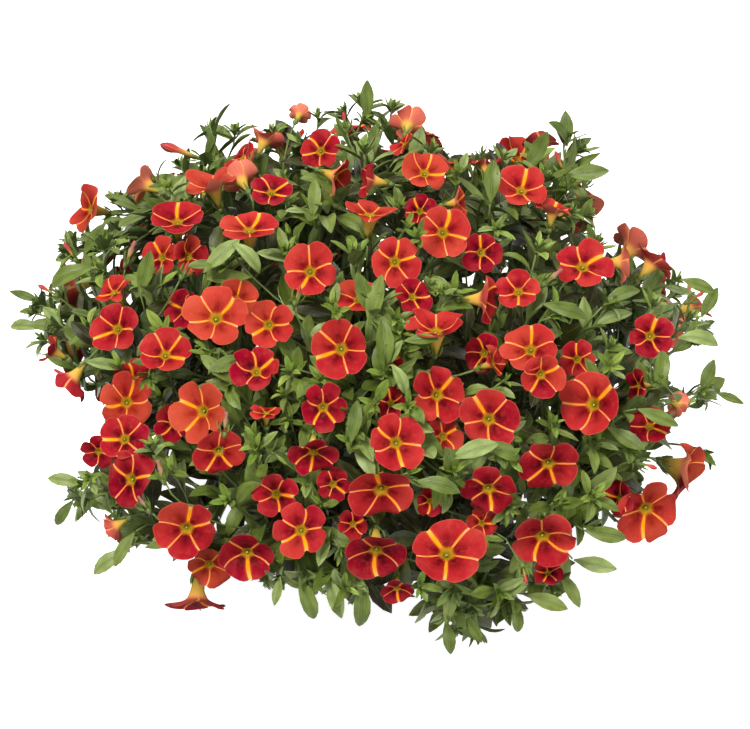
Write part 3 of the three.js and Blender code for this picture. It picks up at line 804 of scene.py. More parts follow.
def corolla_points(dice, turns, swing, loose):
    """Rings of points, whose lobes are notched, ruffled, cupped and bent each in its own way."""
    a = np.abs(ACROSS)
    arch = 1 - a**2
    phases = dice.uniform(0, 2 * math.pi, 6)
    long = 1 + 0.05 * np.sin(turns + phases[0]) + 0.035 * np.sin(2 * turns + phases[1])
    long = long + dice.normal(0, 0.035, LOBES)[LOBE] * arch
    notch = dice.uniform(0.09, 0.24) * np.exp(-(((1 - a) / 0.23) ** 2))
    outline = long * (1 - notch - 0.035 * a**2 - 0.012 * np.exp(-((a / 0.3) ** 2)))
    ruffle = dice.uniform(0.6, 2.2) * loose
    cup = dice.uniform(0.0, 1.5)
    wave = 0.55 * np.sin(2 * turns + phases[2]) + 0.5 * np.sin(3 * turns + phases[3])
    wave = wave + 0.35 * np.sin(5 * turns + phases[4])
    bent = dice.uniform(-2.4, 1.8, LOBES) * loose - (dice.random(LOBES) < 0.12) * 4
    r, z = np.array(RINGS).T[..., None]
    out = np.clip((r - THROAT_RADIUS) / (RIM_RADIUS - THROAT_RADIUS), 0, 1)
    high = z + LIMB_RISE * cup * out**1.4 + ruffle * wave * out**2.5
    high = high + 1.1 * arch * out**1.3 * (1 - 0.5 * out) + bent[LOBE] * arch**2 * out**3
    radius = r * (1 + (outline - 1) * out)
    swung = turns + swing * out**2
    points = np.stack([radius * np.cos(swung), radius * np.sin(swung), high], -1).reshape(-1, 3)
    ends = [[0, 0, FRONT_RINGS[0][1] - 0.3], [0, 0, BACK_RINGS[-1][1]]]
    return np.concatenate([points, ends])


def add_flower(pile, flower, dice, spin, patch=(0, 0, 1)):
    """A corolla along its axis from its foot, with its stigma. patch is its part of the map."""
    known = flower.stripe is not None
    spin = flower.stripe if known else spin
    sides = spin + np.arange(LOBES) * 360 / LOBES + dice.uniform(-8, 8, LOBES)
    turns, swing = from_side_to_side(sides, 360), from_side_to_side(dice.normal(0, 7, LOBES))
    stripe = stripe_widths(dice, known)
    points = corolla_points(dice, turns, swing, 1.0 if known else 1.7)
    shares = np.array(FRONT_SHARES + BACK_SHARES)[:, None]
    petal = np.stack(np.broadcast_arrays(np.abs(ACROSS), shares, stripe), -1).reshape(-1, 3)
    petal = np.concatenate([petal, [[0.5, 0, 0.02]] * 2])
    rim = np.arange(len(points)) // AROUND == len(FRONT_RINGS) - 1

    # The column of the pistil leans a little off the axis.
    stigma, faces = lathe(STIGMA, 6)
    high = (stigma[:, 2:] - STIGMA_FOOT) / 4
    stigma += np.append(dice.uniform(-STIGMA_LEAN, STIGMA_LEAN, 2), 0) * high
    stigma_corners, stigma_sizes = joined(faces)
    stigma_uv = np.concatenate([stigma[:, :1], high], 1) * STIGMA_PATCH_SIZE + STIGMA_PATCH

    by_lobe = np.clip(flower.tone + dice.normal(0, 0.12, LOBES), 0, 1)
    tones = np.append(np.tile(by_lobe[LOBE], len(RINGS)), [flower.tone] * 2)
    turn = upright(flower.facing)
    middle = flower.foot + flower.facing * TUBE_LENGTH * flower.size

    def put(points, corners, sizes, uv, *looks):
        placed = (points * flower.size) @ turn.T + middle
        pile.add(placed, corners, sizes, patch[:2] + uv * patch[2], *looks)

    put(points, CORNERS, FACE_SIZES, corolla_uv(turns), FACE_SLOTS, rim, petal, tones)
    no_petal = (False, (0, 0, 0), flower.tone)
    put(stigma, stigma_corners, stigma_sizes, stigma_uv[stigma_corners], 2, *no_petal)


# ---- Shoots ----

# Radii and heights of a bud and of a withered flower
BUD_PROFILE = [
    (0, 0), (0.5, 0), (0.7, 0.25), (1.0, 0.5), (1.5, 0.68), (1.45, 0.82), (0.8, 0.95), (0, 1.0)
]
WITHERED_PROFILE = [
    (0, 0), (0.6, 0), (0.9, 0.3), (1.3, 0.55), (0.8, 0.75), (1.1, 0.9), (0.5, 1.0), (0, 0.98)
]


class Foliage:
    """The stems and leaves of all shoots, and the flowers that they leave free."""

    def __init__(self, dice, flowers):
        self.dice, self.flowers = dice, flowers
        self.stems = main_stems()
        self.piles = [Pile() for _ in self.stems]
        self.branching = np.stack([bezier(stem, STEM_SHARES) for stem in self.stems])
        self.faces = np.array([f.face for f in flowers])
        self.facings = np.array([f.facing for f in flowers])
        self.radii = np.array([f.width / 2 for f in flowers])
        self.bare = self.radii * [f.bare for f in flowers]
        self.shapes, self.shaded = BIG_LEAVES, SHADED
        self.grown = 0

    def off_flowers(self, points):
        """For each point and flower: how high it lies over the flower's face, how far off its
        axis, how far before its middle the eye sees it, and how far beside that."""
        d = points[:, None] - self.faces[None]
        high = (d * self.facings).sum(-1)
        out = np.linalg.norm(d - high[..., None] * self.facings, axis=-1)
        to_eye = unit(EYE - points)[:, None]
        near = (d * to_eye).sum(-1)
        off = np.linalg.norm(d - near[..., None] * to_eye, axis=-1)
        return high, out, near, off

    def covers(self, points, over):
        """Whether a leaf through these points lies in a flower or, unless over, covers one."""
        high, out, near, off = self.off_flowers(points)
        inside = ((np.abs(high) < 5) & (out < self.radii * 0.9)).any()
        if inside or over:
            return inside
        above = (high > -3) & (high < 30) & (out < self.bare * 1.06)
        before = (near > 2) & (near < 60) & (off < self.bare) & (self.facings @ TO_EYE > 0.3)
        return in_clearing(points) or (above | before).any()

    def crossed(self, points):
        """How many of these points lie in a flower, or where the eye sees them before one."""
        high, out, near, off = self.off_flowers(points)
        inside = (np.abs(high) < 4) & (out < self.radii * 0.95)
        before = (near > 1) & (near < 80) & (off < self.radii * 0.9) & (self.facings @ TO_EYE > 0.2)
        return 2 * inside.sum() + before.sum() + cleared(points).sum()

    def pick(self, choices):
        return choices[self.dice.integers(len(choices))]

    def leaf(self, place, along, normal, length, width=None, young=False, in_painted_shade=False, over=False):
        """A leaf from there, unless it would cover a flower. Those that lie in the shade get darker
        greens: painted shade.
        """
        along = unit(along)
        normal = normal - along * (normal @ along)
        if np.linalg.norm(normal) < 1e-3:
            return
        normal = unit(normal)
        samples = place + along * length * np.array([[0.45], [0.75], [1.0]]) + normal * 0.5
        if self.covers(samples, over):
            return
        shapes = self.shapes
        if young:
            shapes = SMALL_LEAVES if length < SMALL_LEAF else BIG_LEAVES
        shape = self.pick(shapes)
        # Leaves that lie in the shade take the darker greens of the shaded cells: painted shade
        top = self.pick(YOUNG if young else self.shaded if in_painted_shade else SUNNY)
        width = width or self.dice.uniform(0.33, 0.42)
        matrix = basis(along, normal)
        self.pile.add_leaf(shape, matrix, place, length, width, top, self.pick(UNDERSIDE))
        self.grown += 1

    def leaves_along(self, curve, first, last, spacing, big, small, in_painted_shade=False):
        """Leaves round a stem, from its first to its last share and from big to small."""
        dice = self.dice
        length = np.linalg.norm(np.diff(bezier(curve, np.linspace(0, 1, 9)), axis=0), axis=1).sum()
        count = max(1, int((last - first) * length / spacing))
        turn = dice.uniform(0, 360)
        for n in range(count):
            share = first + (last - first) * (n + dice.uniform(0.2, 0.8)) / count
            place, way = bezier(curve, share), bezier_way(curve, share)
            slope = mound_slope(place)
            side = aside(basis(way, slope), radians(turn + n * GOLDEN_ANGLE))
            if side @ slope < -0.2:
                side = side - 1.2 * slope * (side @ slope)
            along = leaning(way, unit(side), radians(dice.uniform(42, 68))) + slope * 0.15
            size = big + (small - big) * share**1.5
            normal = slope * 0.8 + UP * 0.5 + dice.normal(0, 0.28, 3)
            self.leaf(place, along, normal, size * dice.uniform(0.85, 1.15), in_painted_shade=in_painted_shade)

    def rosette(self, place, way, size):
        """The whorl of young leaves at a tip, with the smallest in its middle."""
        dice = self.dice
        count = dice.integers(8, 11)
        frame = basis(way, mound_slope(place))
        turn = dice.uniform(0, 360)
        for n in range(count):
            share = n / (count - 1)
            side = aside(frame, radians(turn + n * GOLDEN_ANGLE))
            spread = radians(66 - 48 * share + dice.uniform(-6, 6))
            length = (15.5 - 10 * share**0.8) * size * dice.uniform(0.85, 1.15)
            normal = way * math.sin(spread) - side * math.cos(spread) * 0.6 + UP * 0.25
            base = place - way * (1 - share) * 4 * size
            young = share > 0.25 or dice.random() < 0.4
            self.leaf(base, leaning(way, side, spread), normal, length, width=0.34, young=young)
        for _ in range(dice.integers(4, 8)):
            side = aside(frame, dice.uniform(0, 2 * math.pi))
            along = leaning(way, side, radians(dice.uniform(8, 55)))
            length = dice.uniform(4.5, 7.5) * size
            self.leaf(place - way * 2, along, side, length, width=0.24, young=True)

    def calyx(self, flower):
        """Five narrow sepals that hold a flower's tube."""
        foot, facing, size = flower.foot, flower.facing, flower.size
        frame = basis(facing, UP)
        for n in range(LOBES):
            side = aside(frame, radians(72 * n + 36))
            along = leaning(facing, side, radians(24 + self.dice.uniform(-6, 10)))
            base = foot - facing * 1.6 + side * 0.9
            matrix = basis(along, side)
            self.pile.add_leaf(SMALL_LEAVES[1], matrix, base, 8.5 * size, 0.2, SEPAL, SEPAL)
        cup = [foot - facing * 3.2, foot - facing * 1.6, foot - facing * 0.4]
        add_stem(self.pile, cup, [0.75, 1.35, 1.5], (0.85, 1.0))

    def bud(self, place, way, length, withered):
        """A closed bud on its tube, or a flower that has folded up and withered."""
        fat = length / (13 if withered else 16)
        profile = WITHERED_PROFILE if withered else BUD_PROFILE
        points, faces = lathe([(r * fat * 1.25, z * length) for r, z in profile], 10)
        x, y, z = points.T
        twist = z / length * 1.6
        around = np.arctan2(y, x)
        ribs = 1 + 0.12 * np.cos(5 * around)
        turned_x, turned_y = x * np.cos(twist) - y * np.sin(twist), x * np.sin(twist) + y * np.cos(twist)
        placed = np.stack([turned_x * ribs, turned_y * ribs, z], 1) @ upright(way).T + place
        corners, sizes = joined(faces)
        across = 0.5 + 0.2 * np.abs(around / math.pi) * (1 if withered else -1)
        uv = cell_uv(BUD, across, 0.05 + 0.9 * (z / length))
        self.pile.add(placed, corners, sizes, uv[corners], 2)

    def parents(self, end, arriving):
        """Places on the shoots that a side stem to there may grow from, the nearest first."""
        far = np.linalg.norm(self.branching - (end - arriving * 12), axis=-1)
        for i in np.argsort(far, axis=None)[:60:5]:
            shoot, best = np.unravel_index(i, far.shape)
            yield shoot, max(FIRST_BRANCH, STEM_SHARES[best] - 0.12)

    def side_stem(self, end, arriving, radius=0.75):
        """A stem to there, from the place that keeps it out of the flowers' way."""
        fewest = math.inf
        for shoot, share in self.parents(end, arriving):
            start, leaving = bezier(self.stems[shoot], share), bezier_way(self.stems[shoot], share)
            curve = curve_between(start, leaving, end, arriving, SIDE_BOW)
            crossed = self.crossed(bezier(curve, np.linspace(0.15, 0.9, 9)))
            crossed += np.linalg.norm(end - start) / LONG_STEM
            if crossed < fewest:
                fewest, best, self.pile = crossed, curve, self.piles[shoot]
        self.before = self.pile.mark(), self.grown
        radii = np.linspace(radius, radius * 0.7, 9)
        add_stem(self.pile, bezier(best, np.linspace(0, 1, 9)), radii, (0.45, 1.0), sides=5)
        return best

    def keep(self, least, allowed=True):
        """Takes the last side stem out again if it isn't allowed or has fewer leaves than that."""
        mark, grown = self.before
        kept = allowed and self.grown >= grown + least
        if not kept:
            self.pile.undo(mark)
        return kept

    def grow_shoots(self):
        """The main stems. One that ends in a clearing is cut short."""
        for pile, curve in zip(self.piles, self.stems):
            self.pile, end = pile, 1.0
            while in_clearing(bezier(curve, end), 4):
                end -= 0.03
            shares = np.linspace(0, end, 25)
            add_stem(pile, bezier(curve, shares), 1.7 - 0.9 * shares, (0.0, 0.9), sides=8)
            self.leaves_along(curve, 0.4, end - 0.03, 7, 25, 16)
            self.rosette(bezier(curve, end), bezier_way(curve, end), 1.0)

    def grow_to_flowers(self):
        for index, flower in enumerate(self.flowers):
            curve = self.side_stem(flower.foot - flower.facing * 3, flower.facing, 0.7)
            # Three in four of these stems carry leaves with painted shade
            self.leaves_along(curve, 0.25, 0.85, 9, 24, 17, in_painted_shade=index % 4 > 0)
            self.calyx(flower)

    def grow_tips(self, tips):
        for point, way, size in tips:
            curve = self.side_stem(point - way * 4, way)
            self.leaves_along(curve, 0.3, 0.97, LEAF_SPACING * 0.75, 25 * size, 16 * size)
            self.rosette(point - way * 4, way, size)
            self.keep(LEAST_LEAVES, not in_clearing(point))

    def grow_inside(self):
        for n in range(1, FILLERS + BACK_FILLERS + 1):
            reach = FILLER_REACH[0] + (FILLER_REACH[1] - FILLER_REACH[0]) * (n * 0.618 % 1)
            point = spread_point(n + 0.37, *TIP_SINES, reach)
            in_front = mound_slope(point) @ TO_EYE > BACK_FILLER_FACES_EYE
            if in_clearing(point, FILLER_MARGIN) or (n > FILLERS and in_front):
                continue
            way = unit(mound_slope(point) + UP * 0.2 + self.dice.normal(0, 0.35, 3))
            curve = self.side_stem(point, way)
            # The leaves inside the mound carry painted shade
            self.leaves_along(curve, 0.25, 1.0, LEAF_SPACING * 0.7, 27, 20, in_painted_shade=True)
            self.keep(LEAST_LEAVES)

    def close_holes(self):
        """A leaf inside the mound behind each hole that the eye would see through."""
        dice = self.dice
        for x, y in Holes(self.piles, self.flowers).find():
            surface = grid_point(x, y)
            for _ in range(HOLE_TRIES):
                point = surface - unit(EYE - surface) * dice.uniform(*HOLE_DEPTH)
                if point[2] < LOWEST_FILL:
                    continue
                way = unit(grid_way(dice.uniform(0, 360)) + dice.normal(0, 0.2, 3))
                base = point - way * LEAF_LENGTH / 2
                self.side_stem(base, way, 0.6)
                normal = TO_EYE + dice.normal(0, 0.2, 3)
                # A leaf with painted shade, deep inside the mound
                self.leaf(base, way, normal, LEAF_LENGTH, width=0.4, in_painted_shade=True, over=True)
                if self.keep(1):
                    break

    def grow_big_leaves(self):
        """The leaves of LEAVES, each at the foot of a short stem of its own."""
        for x, y, angle, steps, lift in LEAVES:
            point, slope, step = on_mound(x, y)
            length = steps * step
            way = unit(grid_way(angle, 0.12) + slope * 0.1)
            base = point + slope * lift - way * length / 2
            curve = self.side_stem(base - slope, unit(way * 0.5 + slope), 0.6)
            normal = TO_EYE * 0.8 + UP * 0.5 + self.dice.normal(0, 0.15, 3)
            self.leaf(base, way, normal, length, width=self.dice.uniform(0.36, 0.42), over=True)
            self.leaves_along(curve, 0.4, 0.9, 11, 24, 18)

    def grow_buds(self):
        for x, y, angle, steps, withered in BUDS:
            point, slope, step = on_mound(x, y)
            length = steps * step * 1.15
            way = unit(grid_way(angle, 0.2) + slope * 0.15)
            base = point + slope * 5 - way * length / 2
            self.side_stem(base, way, 0.6)
            self.bud(base, way, length, withered)
            self.calyx(Flower(base + way * (TUBE_LENGTH + LIMB_RISE) * 0.8, way, FLOWER_WIDTH * 0.8, 0))

    def grow(self, flowers_in_front):
        """All of it. The order matters, as what grows later makes way for what is there."""
        self.grow_shoots()
        self.grow_to_flowers()
        tips = []
        add_listed_tips(tips)
        points = spread_points(0.61, TIP_SINES)
        add_spread_tips(self, tips, points, FRONT_TIPS, FRONT_TIP_SPACING, in_front=True)
        points = spread_points(0, BACK_TIP_SINES)
        add_spread_tips(self, tips, points, BACK_TIPS, BACK_TIP_SPACING, in_front=False)
        add_rim_tips(self, tips, flowers_in_front)
        self.grow_tips(tips)
        self.shapes, self.shaded = INNER_LEAVES, INNER_SHADED
        self.grow_inside()
        self.close_holes()
        self.shapes, self.shaded = BIG_LEAVES, SHADED
        self.grow_big_leaves()
        self.grow_buds()


def add_listed_tips(tips):
    """The tips of TIPS. A tip is its place, the way it points and its size."""
    for x, y, angle, lift, size in TIPS:
        point, slope, _ = on_mound(x, y)
        way = slope + EYE_UP * 0.35 + TO_EYE * 0.3
        if angle is not None:
            way = grid_way(angle, 0.25) + slope * 0.45
        tips.append((point + slope * lift, unit(way), size))


def add_spread_tips(foliage, tips, points, count, spacing, in_front):
    """Tips on the side that the eye sees, where they cover no flower, or on the far side."""
    dice, wanted = foliage.dice, len(tips) + count
    for point, slope in points:
        if len(tips) == wanted:
            break
        on_far_side = slope @ TO_EYE < TIPS_BEHIND_EYE
        near = min(np.linalg.norm(point - tip[0]) for tip in tips) < spacing
        if near or on_far_side == in_front:
            continue
        way = slope + UP * 0.3
        if in_front:
            if foliage.crossed(point[None] + slope * 2) or in_clearing(point, TIP_MARGIN):
                continue
            way = slope + UP * 0.35 + TO_EYE * 0.2
        way = unit(way + dice.normal(0, 0.3, 3))
        lift = dice.uniform(-6, 2) if in_front else -dice.uniform(0, 6)
        sizes = (0.7, 1.0) if in_front else (0.85, 1.15)
        tips.append((point + slope * lift, way, dice.uniform(*sizes)))


def add_rim_tips(foliage, tips, flowers):
    """Tips beside flowers, each on the side where it covers the least of others."""
    dice = foliage.dice
    for flower in flowers:
        if flower.facing @ TO_EYE < 0.5 or dice.random() > RIM_TIPS:
            continue
        places = []
        for _ in range(RIM_TIP_TRIES):
            out = leaning(EYE_RIGHT, EYE_UP, dice.uniform(0, 2 * math.pi))
            point = flower.face + out * flower.width * 0.62 + TO_EYE * 2
            way = unit(TO_EYE * 0.4 + mound_slope(point) * 0.6 - out * 0.5 + UP * 0.2)
            if not in_clearing(point, TIP_MARGIN):
                places.append((foliage.crossed(point[None]), len(places), point, way))
        if places:
            _, _, point, way = min(places)
            tips.append((point, way, dice.uniform(0.6, 0.85)))


class Holes:
    """The squares of the grid, and whether the eye sees anything of the plant in them."""

    def __init__(self, piles, flowers):
        self.seen = np.zeros((GRID_HEIGHT // HOLE + 2, GRID_WIDTH // HOLE + 2), bool)
        for pile in piles:
            self.mark(pile.spots())
        for flower in flowers:
            self.mark(flower.disc(np.linspace(0, 0.95, 9)))

    def mark(self, points):
        column, row = np.floor(grid_place(points) / HOLE).astype(int).T
        rows, columns = self.seen.shape
        inside = (row >= 0) & (row < rows) & (column >= 0) & (column < columns)
        self.seen[row[inside], column[inside]] = True

    def find(self):
        """The middle of each hole of two by two squares. It then counts as closed, with what is
        left of it below."""
        rows, columns = self.seen.shape
        for row in range(1, rows - 1):
            for column in range(1, columns - 1):
                if self.seen[row, column] or self.seen[row, column + 1] and self.seen[row + 1, column]:
                    continue
                x, y = (column + 0.5) * HOLE, (row + 0.5) * HOLE
                point = grid_point(x, y)
                if off_middle(point) > HOLE_OFF_MIDDLE or in_clearing(point, HOLE):
                    continue
                self.seen[row : row + 2, column - 1 : column + 2] = True
                yield x + HOLE / 2, y + HOLE / 2


# ---- Materials ----


def srgb(*values):
    """A colour from its usual 0 to 255 values."""
    shares = [v / 255 for v in values]
    return *[v / 12.92 if v <= 0.04045 else ((v + 0.055) / 1.055) ** 2.4 for v in shares], 1.0


class Value:
    """What a node gives out. Sums with it make more nodes."""

    def __init__(self, nodes, socket):
        self.nodes, self.socket = nodes, socket

    def __add__(self, other):
        return self.nodes.math("ADD", self, other)

    def __sub__(self, other):
        return self.nodes.math("SUBTRACT", self, other)

    def __rsub__(self, other):
        return self.nodes.math("SUBTRACT", other, self)

    def __mul__(self, other):
        return self.nodes.math("MULTIPLY", self, other)

    def __truediv__(self, other):
        return self.nodes.math("DIVIDE", self, other)


class Nodes:
    """The nodes of a material or a sky, one line each. Colours are 0 to 255 values."""

    def __init__(self, owner, shader, **settings):
        owner.use_nodes = True
        self.owner, self.tree = owner, owner.node_tree
        self.shader = self.tree.nodes[shader]
        for key, value in settings.items():
            self.shader.inputs[key.replace("_", " ")].default_value = value

    def node(self, kind, inputs=(), output=0, **settings):
        made = self.tree.nodes.new(kind)
        for key, value in settings.items():
            setattr(made, key, value)
        for key, value in dict(inputs).items():
            if isinstance(value, Value):
                self.tree.links.new(value.socket, made.inputs[key])
            else:
                made.inputs[key].default_value = value
        return Value(self, made.outputs[output])

    def link(self, value, key):
        self.tree.links.new(value.socket, self.shader.inputs[key])

    def math(self, operation, *values, clamp=False):
        inputs = dict(enumerate(values))
        return self.node("ShaderNodeMath", inputs, operation=operation, use_clamp=clamp)

    def sine(self, value):
        return self.math("SINE", value)

    def split(self, vector, axis):
        return self.node("ShaderNodeSeparateXYZ", {0: vector}, output=axis)

    def smooth(self, value, low, high, start=0.0, end=1.0, kind="SMOOTHSTEP"):
        """From start to end, as the value goes from low to high."""
        limits = {"From Min": low, "From Max": high, "To Min": start, "To Max": end}
        return self.node("ShaderNodeMapRange", {"Value": value, **limits}, interpolation_type=kind)

    def mix(self, share, a, b, blend="MIX"):
        a, b = [colour if isinstance(colour, Value) else srgb(*colour) for colour in (a, b)]
        inputs = {0: share, 6: a, 7: b}
        return self.node("ShaderNodeMix", inputs, 2, data_type="RGBA", blend_type=blend)

    def ramp(self, value, stops, steps=False):
        made = self.node("ShaderNodeValToRGB", {0: value})
        line = made.socket.node.color_ramp
        line.interpolation = "CONSTANT" if steps else "LINEAR"
        while len(line.elements) < len(stops):
            line.elements.new(0.5)
        for element, place in zip(line.elements, stops):
            element.position = place
        for element, colour in zip(line.elements, stops.values()):
            element.color = srgb(*colour)
        return made

    def noise(self, vector, scale, detail=2.0):
        return self.node("ShaderNodeTexNoise", {"Vector": vector, "Scale": scale, "Detail": detail})

    def bump(self, height, distance, strength):
        inputs = {"Height": height, "Distance": distance, "Strength": strength}
        self.link(self.node("ShaderNodeBump", inputs), "Normal")

    def sheet_cell(self):
        """The place on the sheet, its cell, and the place across and along that cell."""
        uv = self.node("ShaderNodeUVMap", uv_map="OFBake")
        big = self.node("ShaderNodeVectorMath", {0: uv, "Scale": CELLS}, operation="SCALE")
        cell = self.node("ShaderNodeVectorMath", {0: big}, operation="FLOOR")
        inside = self.node("ShaderNodeVectorMath", {0: big}, operation="FRACTION")
        return uv, cell, self.split(inside, 0), self.split(inside, 1)


def material_nodes(name, roughness, specular=0.4):
    made = bpy.data.materials.new(name)
    return Nodes(made, "Principled BSDF", Roughness=roughness, Specular_IOR_Level=specular)


LEAF_COLOURS = [
    # Mature leaves, from those in the shade to those in the light
    (38, 34, 9), (50, 50, 12), (66, 72, 20), (86, 104, 34),
    (98, 116, 43), (112, 128, 56), (94, 112, 38), (132, 150, 84),
    # Young leaves
    (122, 146, 54), (136, 156, 64), (110, 136, 48),
    # Undersides
    (112, 130, 74), (98, 118, 64),
    # Sepals, then the cells of the buds and the stems
    (110, 134, 54), (150, 30, 40), (112, 128, 62),
]


def leaf_material():
    """Each cell has its own green, with a pale midrib, margin and foot, and fine side veins."""
    n = material_nodes("leaf", 0.45, 0.3)
    uv, cell, across, along = n.sheet_cell()
    index = (n.math("MULTIPLY_ADD", n.split(cell, 1), CELLS, n.split(cell, 0)) + 0.5) / CELLS**2
    base = n.ramp(index, {i / CELLS**2: colour for i, colour in enumerate(LEAF_COLOURS)}, steps=True)
    off = n.math("ABSOLUTE", across - 0.5)
    rib = n.smooth(off, 0.006, 0.03, 1.0, 0.0)
    painted_crease_shade = n.smooth(off, 0.0, 0.13, 1.0, 0.0)
    veins = n.smooth(n.sine((along - off * 0.9) * 58), 0.5, 1.0) * n.smooth(off, 0.42, 0.1)
    mottle, fine = n.noise(uv, 14), n.noise(uv, 150)
    dark = n.mix(1.0, base, (150, 150, 140), "MULTIPLY")
    pale = n.mix(0.3, base, (188, 204, 140))
    colour = n.mix(n.smooth(mottle, 0.42, 0.75, 0.0, 0.3), base, pale)
    colour = n.mix(n.smooth(mottle, 0.55, 0.3, 0.0, 0.35), colour, dark)
    # Painted shade in the fold along the midrib
    colour = n.mix(painted_crease_shade * 0.4, colour, dark)
    colour = n.mix(veins * 0.1, colour, dark)
    colour = n.mix(rib * 0.5, colour, pale)
    colour = n.mix(n.smooth(off, 0.38, 0.47, 0.0, 0.25), colour, pale)
    colour = n.mix(n.smooth(along, 0.35, 0.0, 0.0, 0.3), colour, (134, 156, 78))
    n.link(colour, "Base Color")
    n.link(n.smooth(fine, 0.3, 0.7, 0.32, 0.46), "Roughness")
    n.bump(fine * 0.35 - (rib + veins * 0.5), 0.0003, 0.6)
    return n.owner


def stem_material():
    """Woody brown at the shoots' feet, green further out."""
    n = material_nodes("stem", 0.55)
    uv, _, _, age = n.sheet_cell()
    colour = n.ramp(age, {0.0: (84, 62, 38), 0.25: (84, 76, 40), 0.6: (82, 94, 42), 1.0: (102, 124, 58)})
    colour = n.mix(n.smooth(n.noise(uv, 120), 0.4, 0.8, 0.0, 0.3), colour, (140, 150, 100))
    n.link(colour, "Base Color")
    return n.owner


def bud_material():
    """Live buds on the left half of the cell, withered ones on the right."""
    n = material_nodes("bud", 0.55)
    uv, _, across, along = n.sheet_cell()
    live = {0.0: (120, 140, 60), 0.3: (190, 160, 70), 0.55: (190, 70, 60), 0.8: (165, 20, 45)}
    live[1.0] = (120, 15, 35)
    live = n.mix(n.smooth(n.sine(across * 150), 0.5, 0.9) * 0.5, n.ramp(along, live), (225, 130, 80))
    dead = {0.0: (130, 130, 70), 0.4: (176, 140, 92), 0.7: (150, 90, 80), 1.0: (110, 66, 56)}
    wrinkles = n.smooth(n.noise(uv, 200), 0.4, 0.7, 0.0, 0.5)
    dead = n.mix(wrinkles, n.ramp(along, dead), (190, 160, 130))
    n.link(n.mix(n.math("GREATER_THAN", across, 0.5), live, dead), "Base Color")
    return n.owner


def petal_parts(n):
    """The place from a lobe's middle, 0, to its side, 1, and from the throat, 0, to the rim, 1,
    then half the stripe's width, and the flower's tone."""
    petal = n.node("ShaderNodeAttribute", attribute_name="petal", output=1)
    tone = n.node("ShaderNodeAttribute", attribute_name="tone", output=2)
    return n.split(petal, 0), n.split(petal, 1), n.split(petal, 2), tone


def petal_material():
    n = material_nodes("petal_front", 0.7, 0.05)
    a, r, width, tone = petal_parts(n)
    place = n.node("ShaderNodeTexCoord", output=3)
    coarse, mottle = n.noise(place, 110), n.noise(place, 420, 3)
    # Deep near the throat and down the middle of a lobe, lighter towards the margin
    core = n.ramp(tone, {0.0: (60, 0, 10), 0.5: (106, 4, 12), 1.0: (136, 34, 14)})
    limb = n.ramp(tone, {0.0: (138, 2, 32), 0.3: (150, 16, 32), 0.5: (168, 36, 38), 1.0: (174, 66, 44)})
    pale = n.mix(0.4, limb, (214, 104, 84))
    out = n.smooth(r + (coarse - 0.5) * 0.25, 0.12, 0.74)
    middle = n.smooth(a, 0.5, 0.0) * n.smooth(r, 0.95, 0.3, 0.0, 0.5)
    colour = n.mix(n.math("SUBTRACT", out, middle, clamp=True), core, limb)
    veins = n.smooth(n.sine((a + r * 0.12) * 26), 0.55, 1.0) * n.smooth(r, 1.0, 0.4, 0.05, 0.3)
    colour = n.mix(veins, colour, core)
    colour = n.mix(n.smooth(mottle, 0.45, 0.8, 0.0, 0.3), colour, pale)
    colour = n.mix(n.smooth(coarse, 0.4, 0.75) * n.smooth(r, 0.5, 0.95, 0.0, 0.45), colour, pale)
    # Painted highlight: a thin pale line along the rim
    colour = n.mix(n.smooth(r, 0.95, 1.0, 0.0, 0.3), colour, (206, 108, 84))
    # The stripe along the join of two lobes, ragged and with an orange halo
    off = (1.0 - a) * (math.pi / LOBES) * r
    share = (off + (mottle - 0.5) * 0.022) / (width * n.smooth(r, 0.15, 0.6, 0.7, 1.1))
    broad = n.smooth(width, 0.024, 0.05)
    inner = n.mix(broad, (236, 140, 62), (244, 148, 18))
    outer = n.mix(broad, (236, 164, 116), (242, 174, 84))
    yellow = n.mix(n.smooth(r, 0.55, 1.0), inner, outer)
    colour = n.mix(n.smooth(share, 0.9, 2.2, 1.0, 0.0) * 0.45, colour, (206, 84, 40))
    stripe = n.smooth(share, 0.7, 1.15, 1.0, 0.0)
    colour = n.mix(stripe, colour, yellow)
    # The throat, whose edge reaches out into the stripes
    edge = r - a * 0.07 + (mottle - 0.5) * 0.08
    throat = {0.0: (100, 92, 18), 0.08: (136, 118, 20), 0.15: (166, 126, 24), 0.24: (172, 92, 26)}
    colour = n.mix(n.smooth(edge, 0.11, 0.25, 1.0, 0.0), colour, n.ramp(r, throat))
    n.link(colour, "Base Color")
    n.bump(mottle * 0.6 - (veins + stripe * 0.5), 0.00025, 0.5)
    return n.owner


def petal_back_material():
    """Paler than the front, on a yellow tube."""
    n = material_nodes("petal_back", 0.7, 0.1)
    a, r, _, tone = petal_parts(n)
    limb = n.mix(tone, (152, 26, 38), (232, 128, 104))
    foot = {0.0: (142, 146, 62), 0.15: (186, 164, 66), 0.35: (222, 168, 74), 0.55: (218, 134, 84)}
    colour = n.mix(n.smooth(r, 0.38, 0.66), n.ramp(r, foot), limb)
    stripe = n.smooth((1.0 - a) * r, 0.03, 0.12, 1.0, 0.0) * n.smooth(r, 0.3, 0.7, 0.2, 0.8)
    colour = n.mix(stripe, colour, (236, 160, 92))
    colour = n.mix(n.smooth(n.sine(a * 24), 0.6, 1.0, 0.0, 0.25), colour, (168, 70, 66))
    n.link(colour, "Base Color")
    return n.owner


def plain_material(name, colour, roughness, spots, scale, distance=0.0005):
    """One colour with spots of another, which also stand out by that distance in metres."""
    n = material_nodes(name, roughness)
    mottle = n.noise(n.node("ShaderNodeTexCoord", output=3), scale, 4)
    n.link(n.mix(n.smooth(mottle, 0.35, 0.7), colour, spots), "Base Color")
    n.bump(mottle, distance, 0.6)
    return n.owner


# ---- Pot, soil and crown ----

